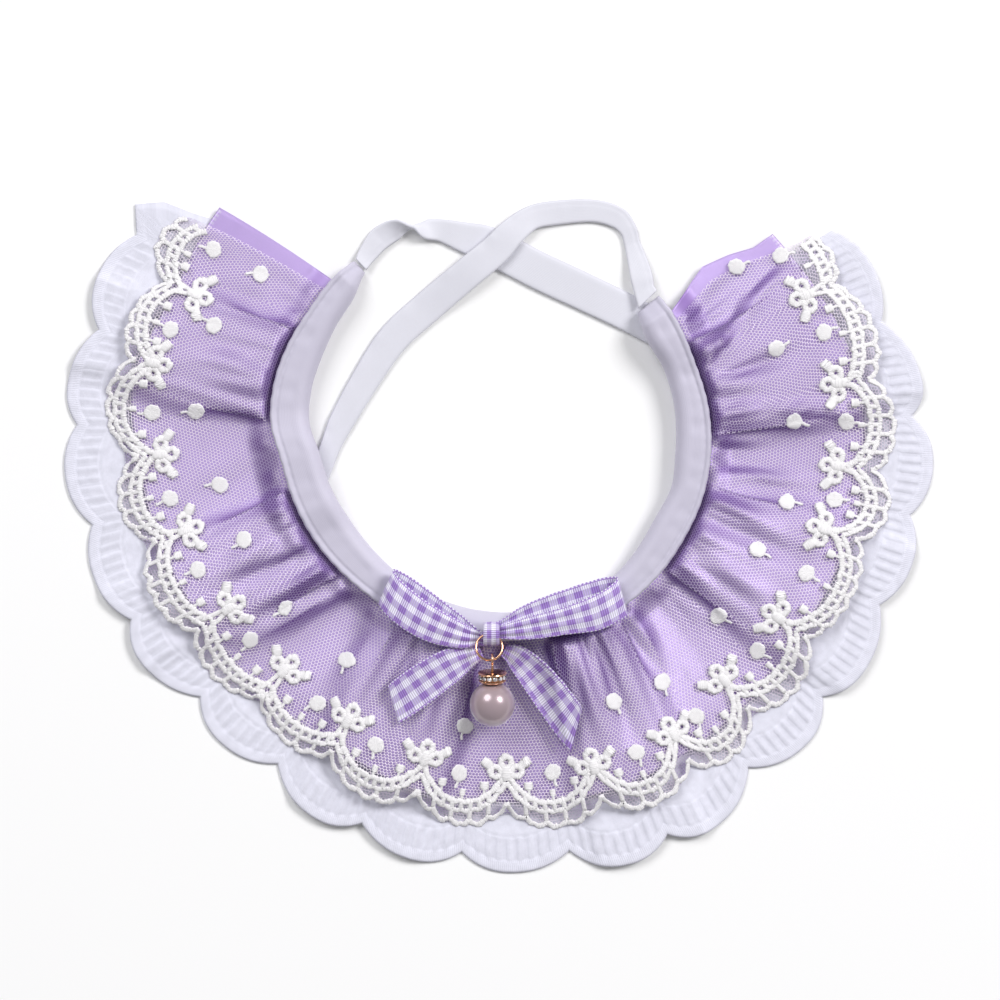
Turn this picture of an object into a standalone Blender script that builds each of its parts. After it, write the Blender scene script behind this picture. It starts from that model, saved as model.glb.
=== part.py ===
"""Cat bib collar, laid flat: a neck tape with two ties, three gathered layers
(white cotton lace, lilac satin, embroidered tulle), a gingham bow and a pearl
charm on a jump ring.

Frame: +X to the wearer's left as it lies, +Y towards the ties, +Z up from the
table.  The cloth is laid out in polar sizes about the middle of the neck:
angle 0 points to the bow (-Y) and grows towards +X.  Tables are in millimetres
and degrees; the meshes are built in metres.
"""

from collections import namedtuple
from math import cos, pi, radians, sin, sqrt

import bpy
import numpy as np

MM = 0.001

# ---------------------------------------------------------------- main sizes
NECK_X = 0.735           # middle of the neck, from the middle of the whole piece
NECK_Y = 25.44
CLOTH = 1.0              # wall of every cloth piece
GAP = 0.35               # between two layers of cloth
TAPE_HEIGHT = 6.3        # folded neck tape over the three gathered edges
TUCK_LIFT = 1.6          # how far the tape rides up over a tucked tie end
TAPE_SECTIONS = 72
RIBBON_LIFT = 0.55       # bow's lowest layer above the neck tape

# neck tape: fold towards the neck, two raw edges caught under the stitching
Tape = namedtuple("Tape", "angle inner outer height")
NECK_TAPE = (
    Tape(-138, 47.0, 50.6, 2.6),
    Tape(-135.5, 46.2, 50.9, 4.6),
    Tape(-133, 45.3, 51.1, 6.3),
    Tape(-120, 44.2, 51.5, 6.3),
    Tape(-110, 44.1, 52.4, 6.3),
    Tape(-100, 44.4, 53.1, 6.3),
    Tape(-90, 44.0, 52.9, 6.3),
    Tape(-82, 42.4, 51.4, 6.3),
    Tape(-70, 41.7, 50.8, 6.3),
    Tape(-58, 41.1, 50.5, 6.3),
    Tape(-45, 41.2, 49.9, 6.3),
    Tape(-20, 42.4, 49.5, 6.3),
    Tape(0, 43.0, 49.5, 6.3),
    Tape(20, 43.3, 49.7, 6.3),
    Tape(36, 43.1, 50.1, 6.3),
    Tape(46, 42.2, 49.8, 6.3),
    Tape(58, 41.1, 49.2, 6.3),
    Tape(70, 41.3, 48.9, 6.3),
    Tape(80, 40.3, 48.4, 6.3),
    Tape(95, 39.7, 47.4, 6.3),
    Tape(108, 39.2, 46.4, 6.3),
    Tape(124.5, 38.8, 46.6, 6.3),
    Tape(127, 39.5, 46.6, 4.5),
    Tape(129.5, 40.3, 46.6, 2.6),
)

# places where the tape and what it holds ride over the other tie's hidden end
Tuck = namedtuple("Tuck", "angle flat fade")
TUCKS = (
    Tuck(-75, 8, 12),
    Tuck(128, 9.5, 15),
)

# box pleats of satin and tulle: the raised panels, edge by edge
Pleat = namedtuple("Pleat", "left_neck left_hem right_neck right_hem rise fade")
PLEATS = (
    Pleat(-114.5, -111.0, -91.0, -96.5, 3.8, 1.4),
    Pleat(-72.5, -68.0, -48.0, -54.0, 4.0, 1.5),
    Pleat(-27.0, -28.5, -6.0, -10.5, 3.6, 1.5),
    Pleat(13.0, 13.0, 31.0, 27.5, 4.0, 1.4),
    Pleat(49.0, 51.5, 73.0, 73.0, 3.6, 1.4),
    Pleat(88.0, 93.0, 113.0, 116.5, 3.8, 1.4),
)
PLEAT_SKIRT = 5.5        # run of cloth from a raised edge down to the hollow
PLEAT_START = 0.6        # pleats open this far outside the tape
PLEAT_OPEN = 5.2         # and stand at full height this much further out
PLEAT_CROWN = 0.5        # soft swell in the middle of a raised panel
NECK_RADIUS = 50.0       # where the pleat table's neck and hem angles are read
HEM_RADIUS = 82.0
COTTON_RIPPLE = 1.1      # lift of the cotton hem under a raised pleat
COTTON_FALL = 4.8        # run in which the layers drop from tape to table
HEM_OVER = 0.8           # tulle stays up this far past the satin hem
LACE_WIDTH = 8.0         # about how far the lace border reaches past the satin
COTTON_REACH = 98.0      # about how far the cotton reaches
LACE_DROOP = 0.9         # then its border settles towards the cotton

# rows of the three layers' grids: stops outside the tape's edge, then shares of the rest,
# and the columns' places between two pleat edges
ROW_STOPS = (-2.8, 0.0, 2.3, 4.6, 7.4, 12.0)
ROW_SHARES = (0.36, 0.7, 1.0)
COLUMN_PLACES = (0, 0.13, 0.27, 0.42, 0.58, 0.73, 0.87)

# scalloped edge of the cotton lace, one row a scallop
Scallop = namedtuple("Scallop", "valley_angle valley peak_angle peak")
SCALLOPS = (
    Scallop(-117.5, 94.5, -110.0, 98.9),
    Scallop(-103.3, 95.0, -96.0, 100.1),
    Scallop(-90.0, 97.5, -83.0, 101.0),
    Scallop(-76.3, 96.8, -69.0, 100.1),
    Scallop(-62.3, 96.1, -56.0, 99.1),
    Scallop(-48.0, 93.2, -41.4, 97.5),
    Scallop(-33.5, 93.2, -26.2, 99.8),
    Scallop(-19.4, 96.8, -11.8, 101.9),
    Scallop(-5.4, 98.4, 1.2, 102.8),
    Scallop(9.0, 98.9, 15.5, 104.9),
    Scallop(22.0, 101.2, 28.5, 104.4),
    Scallop(35.7, 96.8, 43.5, 101.4),
    Scallop(49.7, 96.4, 56.0, 100.5),
    Scallop(64.5, 95.9, 71.3, 99.4),
    Scallop(77.5, 95.9, 85.0, 99.4),
    Scallop(91.3, 94.1, 96.5, 96.8),
    Scallop(105.3, 90.2, 113.0, 92.5),
)
SCALLOP_END = (120.4, 88.3)      # last valley, at the cut end
SCALLOP_TIP = (-121.0, 98.4)     # part scallop left standing at the other cut end
SCALLOP_ROUND = 2.3              # power of the scallop's arc

# satin hem
Hem = namedtuple("Hem", "angle radius")
SATIN_HEM = (
    Hem(-128, 81.9), Hem(-110, 81.6), Hem(-95, 85.4), Hem(-85, 84.0),
    Hem(-70, 83.3), Hem(-55, 82.1), Hem(-40, 82.8), Hem(-26, 83.5),
    Hem(-13, 86.2), Hem(0, 86.5), Hem(15, 87.4), Hem(30, 86.3),
    Hem(45, 84.9), Hem(60, 83.6), Hem(75, 84.2), Hem(90, 83.2),
    Hem(100, 82.0), Hem(110, 79.4), Hem(118, 77.4), Hem(125, 76.1),
)

# lace border of the tulle: its arcs meet at the embroidered sprigs
Arc = namedtuple("Arc", "sprig_angle valley peak")
LACE_ARCS = (
    Arc(-124.0, 86.0, 90.2), Arc(-113.0, 84.5, 89.2), Arc(-100.0, 87.3, 91.5),
    Arc(-85.0, 85.5, 90.4), Arc(-71.5, 85.5, 89.9), Arc(-56.0, 85.6, 88.6),
    Arc(-41.5, 84.4, 88.8), Arc(-27.5, 86.0, 91.5), Arc(-13.0, 87.6, 92.9),
    Arc(0.7, 88.6, 93.8), Arc(15.0, 89.8, 94.3), Arc(29.0, 89.6, 93.4),
    Arc(41.0, 87.6, 91.5), Arc(55.0, 86.3, 89.9), Arc(72.0, 86.9, 91.5),
    Arc(83.0, 87.3, 90.9), Arc(97.0, 86.3, 88.6), Arc(113.0, 83.4, 85.8),
)
LACE_END = (122.0, 83.0)

# cut ends of each layer: angle at a radius
End = namedtuple("End", "radius angle")
SATIN_LEFT = (End(46, -130.6), End(51, -130.4), End(82, -127.6))
SATIN_RIGHT = (End(40, 121.4), End(46.6, 121.8), End(51, 124.2), End(59, 127.2), End(63, 128.3), End(70, 126.9),
               End(76, 125.2))
TULLE_LEFT = (End(46, -130.2), End(51, -130.0), End(76, -127.2), End(82, -125.5), End(90, -123.6))
TULLE_RIGHT = (End(40, 121.2), End(46.6, 121.4), End(51, 123.6), End(63, 126.6), End(75, 124.4),
               End(80, 122.4), End(86, 121.6))
COTTON_LEFT = (End(46, -130.2), End(51, -129.6), End(82, -124.4), End(90, -123.4), End(98, -121.0))
COTTON_RIGHT = (End(40, 121.4), End(47, 121.6), End(77, 122.0), End(88, 120.5))

# ties: each row is one place along the tape, from the neck tape to the hidden end
TieRow = namedtuple("TieRow", "x y z half_width roll skew")
TIE_LEFT = (
    TieRow(-32.4, 36.9, 0.9, 1.8, 0, -16),
    TieRow(-30.9, 39.3, 0.3, 2.2, 0, -6),
    TieRow(-28.0, 42.9, 0.0, 2.7, 0, 0),
    TieRow(-24.2, 45.0, 0.1, 2.4, 20, 0),
    TieRow(-20.7, 45.5, 0.4, 1.3, 90, 0),
    TieRow(-17.6, 44.9, 0.1, 2.3, 160, 0),
    TieRow(-14.0, 44.7, 0.0, 2.6, 180, 0),
    TieRow(-8.5, 43.1, 0.0, 3.5, 180, 0),
    TieRow(-2.6, 41.2, 0.0, 4.2, 180, 0),
    TieRow(8.0, 35.7, 0.0, 4.3, 180, 0),
    TieRow(18.5, 30.8, 0.0, 4.3, 180, 0),
    TieRow(28.5, 26.0, 0.0, 4.2, 180, 0),
    TieRow(36.0, 22.0, 0.0, 4.1, 180, 0),
)
TIE_RIGHT = (
    TieRow(33.4, 28.8, 2.2, 3.0, 0, 24),
    TieRow(32.6, 31.0, 1.8, 2.5, 0, 10),
    TieRow(32.0, 34.0, 1.6, 2.6, 0, 0),
    TieRow(31.0, 38.0, 0.6, 2.3, 0, 0),
    TieRow(29.9, 41.7, 0.0, 1.9, 0, 0),
    TieRow(29.0, 44.8, 0.0, 2.0, 0, 0),
    TieRow(26.4, 47.7, 0.0, 2.5, 0, 0),
    TieRow(20.9, 49.2, 0.0, 2.6, 0, 0),
    TieRow(12.9, 48.8, 0.0, 2.8, 0, 0),
    TieRow(6.9, 47.6, 0.6, 2.8, 0, 0),
    TieRow(2.1, 44.0, 1.5, 3.2, 0, 0),
    TieRow(-1.3, 40.3, 1.6, 3.5, 0, 0),
    TieRow(-7.8, 34.9, 1.5, 3.6, 0, 0),
    TieRow(-17.0, 27.2, 0.1, 3.7, 0, 0),
    TieRow(-25.0, 19.8, 0.0, 3.6, 0, 0),
    TieRow(-31.3, 10.5, 0.0, 3.3, 0, 0),
    TieRow(-36.8, 0.9, 0.0, 2.9, 0, 0),
    TieRow(-39.3, -4.6, 0.0, 2.4, 0, 0),
    TieRow(-41.1, -9.2, 0.0, 2.4, 0, 0),
    TieRow(-43.5, -14.8, 0.0, 2.6, 0, 0),
)

# bow: gingham ribbon, pinched by the knot
KNOT_X = -2.42
KNOT_Y = -47.75
KNOT_WIDTH = 3.7         # along X
KNOT_DEPTH = 5.8         # along Y
KNOT_TALL = 5.9
KNOT_BARREL = 0.15
# a loop's rows run from the knot along the under layer, round its end and back on top
LoopRow = namedtuple("LoopRow", "along side z half_width")
LOOP_LEFT = (
    LoopRow(0.75, -2.0, 0.0, 1.8),
    LoopRow(4.6, -2.2, 0.0, 3.0),
    LoopRow(9.6, -1.9, 0.0, 3.9),
    LoopRow(16.2, -0.8, 0.0, 4.4),
    LoopRow(21.6, 0.2, 0.3, 4.4),
    LoopRow(24.4, 0.3, 1.7, 4.2),
    LoopRow(21.8, -1.4, 3.3, 4.3),
    LoopRow(16.0, -3.0, 3.6, 4.2),
    LoopRow(10.0, -3.6, 3.1, 3.8),
    LoopRow(4.0, -3.2, 1.9, 2.8),
    LoopRow(0.75, -2.2, 1.35, 1.7),
)
LOOP_RIGHT = (
    LoopRow(0.75, 0.6, 0.0, 1.9),
    LoopRow(5.0, 0.7, 0.0, 3.1),
    LoopRow(10.0, 0.8, 0.0, 3.9),
    LoopRow(18.0, 0.9, 0.0, 4.4),
    LoopRow(26.0, 1.0, 0.3, 4.5),
    LoopRow(29.2, 0.3, 1.9, 4.4),
    LoopRow(26.6, -0.9, 3.6, 4.1),
    LoopRow(21.6, -1.8, 3.9, 3.9),
    LoopRow(14.6, -1.6, 3.4, 3.1),
    LoopRow(7.0, -1.1, 2.2, 2.6),
    LoopRow(0.75, -0.3, 1.35, 1.6),
)
LOOP_LEFT_HEADING = 156.3     # degrees from +X
LOOP_RIGHT_HEADING = 15.5
LOOP_ARCH = 0.35              # swell across the ribbon
RIBBON_PATCH = 1.6            # the tails bridge hollows smaller than this
LOOP_FREE = 7.0               # run in which the ribbon turns from the knot's side to its own
# a tail's rows run from under the knot to the cut end; skew turns the cut
TailRow = namedtuple("TailRow", "x y half_width skew")
TAIL_LEFT = (
    TailRow(-4.6, -51.9, 1.5, 0),
    TailRow(-7.6, -53.0, 2.6, 0),
    TailRow(-11.6, -54.9, 3.9, 0),
    TailRow(-17.0, -58.4, 4.5, 0),
    TailRow(-21.9, -61.9, 4.6, -8),
    TailRow(-24.8, -64.0, 4.5, -20),
)
TAIL_RIGHT = (
    TailRow(0.4, -51.6, 1.4, 0),
    TailRow(3.6, -53.4, 2.9, 0),
    TailRow(8.8, -59.0, 4.0, 0),
    TailRow(14.2, -66.2, 4.5, 14),
    TailRow(17.0, -69.9, 5.0, 38),
)

# charm
RING_RADIUS = 3.0        # middle of the wire
WIRE = 0.275             # wire radius of ring and eye pin
RING_X = -2.9
RING_TOP_Y = -47.85      # ring's top wire, inside the knot
RING_TOP_Z = 9.76
RING_TILT = 15.0         # ring leans up towards the charm
CHARM_TILT = 12.0        # charm slopes down to the cloth
EYE_RADIUS = 1.2
EYE_ASIDE = 0.7          # the eye hangs this far beside the ring's lowest point
EYE_OPEN = 42.0          # degrees of the eye left open beside the stem
BORE = 0.6
PEARL_RADIUS = 5.15
PEARL_CENTRE = 10.4      # below the eye, along the pin
PIN_END = 7.0
CAP_TOP = 2.9
CAP_RADIUS = 3.3
STONE_RADIUS = 2.75      # seat of the stones, between two rims
RIM = 0.45
CAP_HIP = 4.6            # top of the lower rim
CAP_FOOT = 5.35

# material: base colour, roughness, metallic
Look = namedtuple("Look", "colour roughness metallic")
WHITE_COTTON = Look((0.86, 0.86, 0.90), 0.85, 0.0)
WHITE_TAPE = Look((0.84, 0.84, 0.89), 0.75, 0.0)
LILAC_SATIN = Look((0.55, 0.40, 0.76), 0.35, 0.0)
LILAC_TULLE = Look((0.66, 0.54, 0.82), 0.70, 0.0)
GINGHAM = Look((0.45, 0.30, 0.72), 0.50, 0.0)
ROSE_GOLD = Look((0.85, 0.58, 0.38), 0.20, 1.0)
PEARL_WHITE = Look((0.88, 0.82, 0.84), 0.15, 0.0)


# ------------------------------------------------------------------- helpers
def clear_scene():
    """Start from an empty scene."""
    for old in list(bpy.data.objects):
        bpy.data.objects.remove(old, do_unlink=True)


def material(name, look):
    """A Principled BSDF with the piece's colour and finish."""
    made = bpy.data.materials.new(name)
    made.use_nodes = True
    shader = made.node_tree.nodes["Principled BSDF"]
    shader.inputs["Base Color"].default_value = (*look.colour, 1.0)
    shader.inputs["Roughness"].default_value = look.roughness
    shader.inputs["Metallic"].default_value = look.metallic
    return made


def column(rows, name):
    """One named column of a table, as an array."""
    return np.array([getattr(row, name) for row in rows], float)


def spline(x, knots, values):
    """Cubic Hermite curve through a table, held level past its ends."""
    x = np.clip(x, knots[0], knots[-1])
    slopes = np.gradient(values, knots)
    k = np.clip(np.searchsorted(knots, x) - 1, 0, len(knots) - 2)
    step = knots[k + 1] - knots[k]
    t = (x - knots[k]) / step
    start = values[k] * (2 * t**3 - 3 * t**2 + 1) + slopes[k] * step * (t**3 - 2 * t**2 + t)
    finish = values[k + 1] * (3 * t**2 - 2 * t**3) + slopes[k + 1] * step * (t**3 - t**2)
    return start + finish


def smooth_rows(rows, spans):
    """A table's rows joined by a smooth curve, with the given spans between rows."""
    table = np.array(rows, float)
    places = np.arange(len(table), dtype=float)
    fine = np.linspace(0, len(table) - 1, (len(table) - 1) * spans + 1)
    return np.stack([spline(fine, places, col) for col in table.T], axis=1)


def ease(t):
    """0 to 1 with level ends."""
    t = np.clip(t, 0, 1)
    return t * t * (3 - 2 * t)


def add_object(name, mesh, look_material, parent=None):
    """A named part in the collar's collection."""
    made = bpy.data.objects.new(name, mesh)
    made.parent = parent
    mesh.materials.append(look_material)
    mesh.shade_smooth()
    mesh.set_sharp_from_angle(angle=radians(40))
    parts.objects.link(made)
    return made


def surface(name, points, look_material, closed=False):
    """An open sheet of triangle pairs through rows of points in millimetres."""
    rows, cols = points.shape[:2]
    index = np.arange(rows * cols).reshape(rows, cols)
    if closed:
        index = np.concatenate([index, index[:, :1]], axis=1)
    near, out, far, beside = index[:-1, :-1], index[1:, :-1], index[1:, 1:], index[:-1, 1:]
    pairs = np.stack([np.stack([near, out, far], axis=-1), np.stack([near, far, beside], axis=-1)])
    faces = pairs.reshape(-1, 3)
    mesh = bpy.data.meshes.new(name)
    mesh.from_pydata((points.reshape(-1, 3) * MM).tolist(), [], faces.tolist())
    return add_object(name, mesh, look_material)


def wall(piece, thickness, side):
    """Give a sheet its wall: side 1 outwards, -1 inwards, 0 both ways."""
    solidify = piece.modifiers.new("wall", "SOLIDIFY")
    solidify.thickness = thickness * MM
    solidify.offset = side
    solidify.use_even_offset = False


# ---------------------------------------------------------- height of the bib
def tape_radius(angle, name):
    return spline(angle, column(NECK_TAPE, "angle"), column(NECK_TAPE, name))


def tuck_lift(angle):
    """Rise over the tucked tie ends."""
    lift = np.zeros_like(angle)
    for tuck in TUCKS:
        away = (np.abs(angle - tuck.angle) - tuck.flat) / tuck.fade
        lift = np.maximum(lift, TUCK_LIFT * (1 - ease(away)))
    return lift


def pleat_panel(angle, radius, pleat):
    """1 on the raised panel, curving down to 0 over its skirt; and the place across it."""
    down = np.clip((radius - NECK_RADIUS) / (HEM_RADIUS - NECK_RADIUS), 0, 1.3)
    left = pleat.left_neck + (pleat.left_hem - pleat.left_neck) * down
    right = pleat.right_neck + (pleat.right_hem - pleat.right_neck) * down
    outside = np.maximum(np.maximum(left - angle, angle - right), 0) * radius * pi / 180
    across = np.clip((angle - left) / (right - left), 0, 1)
    return np.clip(1 - outside / PLEAT_SKIRT, 0, 1) ** 2, across


def pleat_height(angle, radius):
    """Height of the box pleats above the hollows between them."""
    out = radius - tape_radius(angle, "outer") - PLEAT_START
    opening = np.clip(out / PLEAT_OPEN, 0, 1) ** 1.7
    down = np.clip((radius - NECK_RADIUS) / (HEM_RADIUS - NECK_RADIUS), 0, 1.3)
    height = np.zeros_like(angle)
    for pleat in PLEATS:
        panel, across = pleat_panel(angle, radius, pleat)
        crown = 1 + PLEAT_CROWN * 4 * across * (1 - across) / pleat.rise
        height += (pleat.rise + (pleat.fade - pleat.rise) * down) * panel * crown
    return height * opening


def cotton_height(angle, radius):
    """Underside of the cotton: up in the tape, then flat on the table, rippled at the hem."""
    lift = tuck_lift(angle)
    out = radius - tape_radius(angle, "outer") - PLEAT_START
    fall = 1 - ease(out / (COTTON_FALL + 1.5 * lift))
    ripple = np.zeros_like(angle)
    for pleat in PLEATS:
        ripple += pleat_panel(angle, radius, pleat)[0]
    return (CLOTH + 0.3 + lift) * fall + COTTON_RIPPLE * ripple * ease((radius - 70) / 24)


def satin_height(angle, radius):
    """Underside of the satin, on the cotton and over the pleats."""
    return cotton_height(angle, radius) + CLOTH + GAP + pleat_height(angle, radius)


def bib_points(angle, radius, height, moved_out):
    """Points on a layer's underside, moved out along the cloth's own normal."""
    def place(a, r):
        turn = np.radians(a)
        return np.stack([r * np.sin(turn), -r * np.cos(turn), height(a, r)], axis=-1)

    step = 0.2
    along = place(angle + step, radius) - place(angle - step, radius)
    outward = place(angle, radius + step) - place(angle, radius - step)
    normal = np.cross(outward, along)
    normal /= np.linalg.norm(normal, axis=-1, keepdims=True)
    points = place(angle, radius) + normal * np.asarray(moved_out)[..., None]
    return points + np.array([NECK_X, NECK_Y, 0.0])


# -------------------------------------------------------------- bib layers
def scallop_radius(angle):
    """Arc between two valleys, leaning towards its own peak."""
    starts = np.append(column(SCALLOPS, "valley_angle"), SCALLOP_END[0])
    valleys = np.append(column(SCALLOPS, "valley"), SCALLOP_END[1])
    k = np.clip(np.searchsorted(starts, angle, side="right") - 1, 0, len(SCALLOPS) - 1)
    t = np.clip((angle - starts[k]) / (starts[k + 1] - starts[k]), 0, 1)
    top = (column(SCALLOPS, "peak_angle")[k] - starts[k]) / (starts[k + 1] - starts[k])
    lean = np.where(t < top, 0.5 * t / top, 0.5 + 0.5 * (t - top) / (1 - top))
    base = valleys[k] + (valleys[k + 1] - valleys[k]) * t
    rise = column(SCALLOPS, "peak")[k] - (valleys[k] + (valleys[k + 1] - valleys[k]) * top)
    arc = base + rise * (1 - np.abs(2 * lean - 1) ** SCALLOP_ROUND)
    tip = (angle - starts[0]) / (SCALLOP_TIP[0] - starts[0])
    return np.where(angle < starts[0], valleys[0] + (SCALLOP_TIP[1] - valleys[0]) * tip, arc)


def lace_radius(angle):
    """Outer edge of the tulle's lace border."""
    starts = np.append(column(LACE_ARCS, "sprig_angle"), LACE_END[0])
    valleys = np.append(column(LACE_ARCS, "valley"), LACE_END[1])
    k = np.clip(np.searchsorted(starts, angle, side="right") - 1, 0, len(LACE_ARCS) - 1)
    t = np.clip((angle - starts[k]) / (starts[k + 1] - starts[k]), 0, 1)
    base = valleys[k] + (valleys[k + 1] - valleys[k]) * t
    rise = column(LACE_ARCS, "peak")[k] - 0.5 * (valleys[k] + valleys[k + 1])
    return base + rise * (1 - np.abs(2 * t - 1) ** SCALLOP_ROUND)


def satin_radius(angle):
    return spline(angle, column(SATIN_HEM, "angle"), column(SATIN_HEM, "radius"))


def end_angle(radius, ends):
    return np.interp(radius, column(ends, "radius"), column(ends, "angle"))


def pleat_columns(radius, left, right, places):
    """Angles of the grid's columns at one radius: they follow the pleats' edges."""
    down = min(max((radius - NECK_RADIUS) / (HEM_RADIUS - NECK_RADIUS), 0), 1.3)
    guides = [float(end_angle(radius, left))]
    for pleat in PLEATS:
        guides.append(pleat.left_neck + (pleat.left_hem - pleat.left_neck) * down)
        guides.append(pleat.right_neck + (pleat.right_hem - pleat.right_neck) * down)
    guides.append(float(end_angle(radius, right)))
    angles = [start + (stop - start) * place
              for start, stop in zip(guides[:-1], guides[1:]) for place in places]
    return np.array(angles + [guides[-1]])


def scallop_columns(radius, left, right, spans):
    """Angles of the grid's columns at one radius: they meet the scallops' valleys."""
    valleys = [*column(SCALLOPS, "valley_angle")]
    first = float(end_angle(radius, left))
    last = float(end_angle(radius, right))
    guides = [first, 0.5 * (first + valleys[0])] + valleys
    counts = [1, 1] + [spans] * len(valleys)
    angles = []
    for start, stop, count in zip(guides, guides[1:] + [last], counts):
        angles += list(np.linspace(start, stop, count, endpoint=False))
    return np.array(angles + [last])


def layer_grid(stops, rest, edge, reach, left, right, columns, places):
    """Rows of angle and radius: stops outside the tape's edge, then shares of the rest."""
    angles = []
    radii = []
    nominal = [NECK_RADIUS + stop for stop in stops]
    nominal += [nominal[-1] + (reach - nominal[-1]) * share for share in rest]
    for row, middle in enumerate(nominal):
        angle = columns(middle, left, right, places)
        outer = tape_radius(angle, "outer")
        if row < len(stops):
            radius = outer + stops[row]
        else:
            start = outer + stops[-1]
            radius = start + (edge(angle) - start) * rest[row - len(stops)]
        angles.append(angle)
        radii.append(radius)
    return np.array(angles), np.array(radii)


def make_cotton(look):
    """Bottom layer: white cotton lace with scallops, flat on the table."""
    angle, radius = layer_grid(ROW_STOPS[:5], (0.5, 0.93, 1.0), scallop_radius, COTTON_REACH,
                               COTTON_LEFT, COTTON_RIGHT, scallop_columns, 6)
    points = bib_points(angle, radius, cotton_height, np.zeros_like(radius))
    wall(surface("cotton_lace_ruffle", points, look), CLOTH, 1)


def make_satin(look):
    """Middle layer: lilac satin, box pleated into the tape."""
    angle, radius = layer_grid(ROW_STOPS, ROW_SHARES, satin_radius, HEM_RADIUS,
                               SATIN_LEFT, SATIN_RIGHT, pleat_columns, COLUMN_PLACES)
    points = bib_points(angle, radius, satin_height, np.zeros_like(radius))
    wall(surface("satin_ruffle", points, look), CLOTH, 1)


def make_tulle(look):
    """Top layer: tulle with a lace border, on the satin and past its hem."""
    angle, radius = layer_grid(ROW_STOPS, ROW_SHARES, lambda a: satin_radius(a) + HEM_OVER,
                               HEM_RADIUS, TULLE_LEFT, TULLE_RIGHT, pleat_columns, COLUMN_PLACES)
    moved = np.full(radius.shape, CLOTH + GAP)
    for share in (0.5, 1.0):
        ring = pleat_columns(HEM_RADIUS + LACE_WIDTH * share, TULLE_LEFT, TULLE_RIGHT,
                             COLUMN_PLACES)
        start = satin_radius(ring) + HEM_OVER
        stop = np.maximum(lace_radius(ring), start + 1.5)
        angle = np.vstack([angle, ring])
        radius = np.vstack([radius, start + (stop - start) * share])
        moved = np.vstack([moved, np.full(len(ring), CLOTH + GAP - LACE_DROOP * share)])
    points = bib_points(angle, radius, satin_height, moved)
    wall(surface("tulle_lace_ruffle", points, look), CLOTH, 1)


# --------------------------------------------------------- neck tape and ties
def make_neck_tape(look):
    """Folded tape: under wall, round fold towards the neck, top wall."""
    angles = np.linspace(NECK_TAPE[0].angle, NECK_TAPE[-1].angle, TAPE_SECTIONS)
    inner = tape_radius(angles, "inner")
    outer = tape_radius(angles, "outer")
    tall = np.minimum(tape_radius(angles, "height"), TAPE_HEIGHT)
    floor = tuck_lift(angles)
    half = tall / 2
    fold = np.radians([-90, -30, 30, 90])
    rows = [(outer, floor)]
    for turn in fold:
        rows.append((inner + half * (1 - cos(turn)), floor + half * (1 + sin(turn))))
    middle = 0.5 * (inner + half + outer)
    rows.insert(1, (middle, floor))
    rows.append((middle, floor + tall))
    rows.append((outer, floor + tall))
    turn = np.radians(angles)
    points = [np.stack([NECK_X + r * np.sin(turn), NECK_Y - r * np.cos(turn), z], axis=-1)
              for r, z in rows]
    wall(surface("neckband", np.array(points), look), CLOTH, -1)


def strip_points(centre, across, half_width, places):
    """Points across a strip at each place along it."""
    spread = np.linspace(-1, 1, places)
    return centre[:, None, :] + (half_width[:, None] * spread)[..., None] * across[:, None, :]


def make_tie(name, rows, look):
    """A tie: a flat strip through the table's rows, rolled over where it is twisted."""
    path = smooth_rows(rows, 2)
    centre = path[:, :3] + np.array([NECK_X, NECK_Y, 0.0])
    centre[:, 2] = np.maximum(centre[:, 2], 0)
    along = np.gradient(centre, axis=0)
    heading = np.arctan2(along[:, 1], along[:, 0]) + pi / 2 + np.radians(path[:, 5])
    level = np.stack([np.cos(heading), np.sin(heading), np.zeros(len(path))], axis=1)
    roll = np.radians(path[:, 4])[:, None]
    up = np.array([0.0, 0.0, 1.0])
    across = level * np.cos(roll) + up * np.sin(roll)
    face = up * np.cos(roll) - level * np.sin(roll)
    stand = path[:, 3] * np.abs(np.sin(roll[:, 0])) + 0.5 * CLOTH * np.abs(face[:, 2])
    centre[:, 2] += stand
    points = strip_points(centre, across, path[:, 3], 4)
    wall(surface(name, points, look), CLOTH, 0)


# ------------------------------------------------------------------------ bow
def cloth_top(x, y):
    """Upper face of the tulle under a point of the neck's own frame, taken over a small patch."""
    top = np.zeros_like(x)
    for turn in np.linspace(0, 2 * pi, 12, endpoint=False):
        near_x = x + RIBBON_PATCH * cos(turn)
        near_y = y + RIBBON_PATCH * sin(turn)
        angle = np.degrees(np.arctan2(near_x, -near_y))
        top = np.maximum(top, satin_height(angle, np.hypot(near_x, near_y)))
    return top + 2 * CLOTH + GAP


def make_loop(name, rows, side, heading, look):
    """A bow loop: out along the under layer, round the end and back over the top."""
    path = smooth_rows(rows, 2)
    turn = radians(heading)
    along = np.array([cos(turn), sin(turn), 0.0])
    beside = np.array([-sin(turn), cos(turn), 0.0]) * side
    start = np.array([NECK_X + KNOT_X, NECK_Y + KNOT_Y, 0.0])
    start += along * (0.5 * KNOT_WIDTH)
    base = TAPE_HEIGHT + RIBBON_LIFT + 0.5 * CLOTH
    centre = start + along * path[:, :1] + beside * path[:, 1:2]
    centre[:, 2] = base + path[:, 2]
    square = np.array([0.0, np.sign(beside[1]), 0.0])
    free = ease(path[:, :1] / LOOP_FREE)
    across = square * (1 - free) + beside * free
    across /= np.linalg.norm(across, axis=1, keepdims=True)
    points = strip_points(centre, across, path[:, 3], 5)
    swell = 1 - np.linspace(-1, 1, 5) ** 2
    points[..., 2] += LOOP_ARCH * swell * ease(path[:, 2] - 0.8)[:, None]
    wall(surface(name, points, look), CLOTH, 0)


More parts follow.
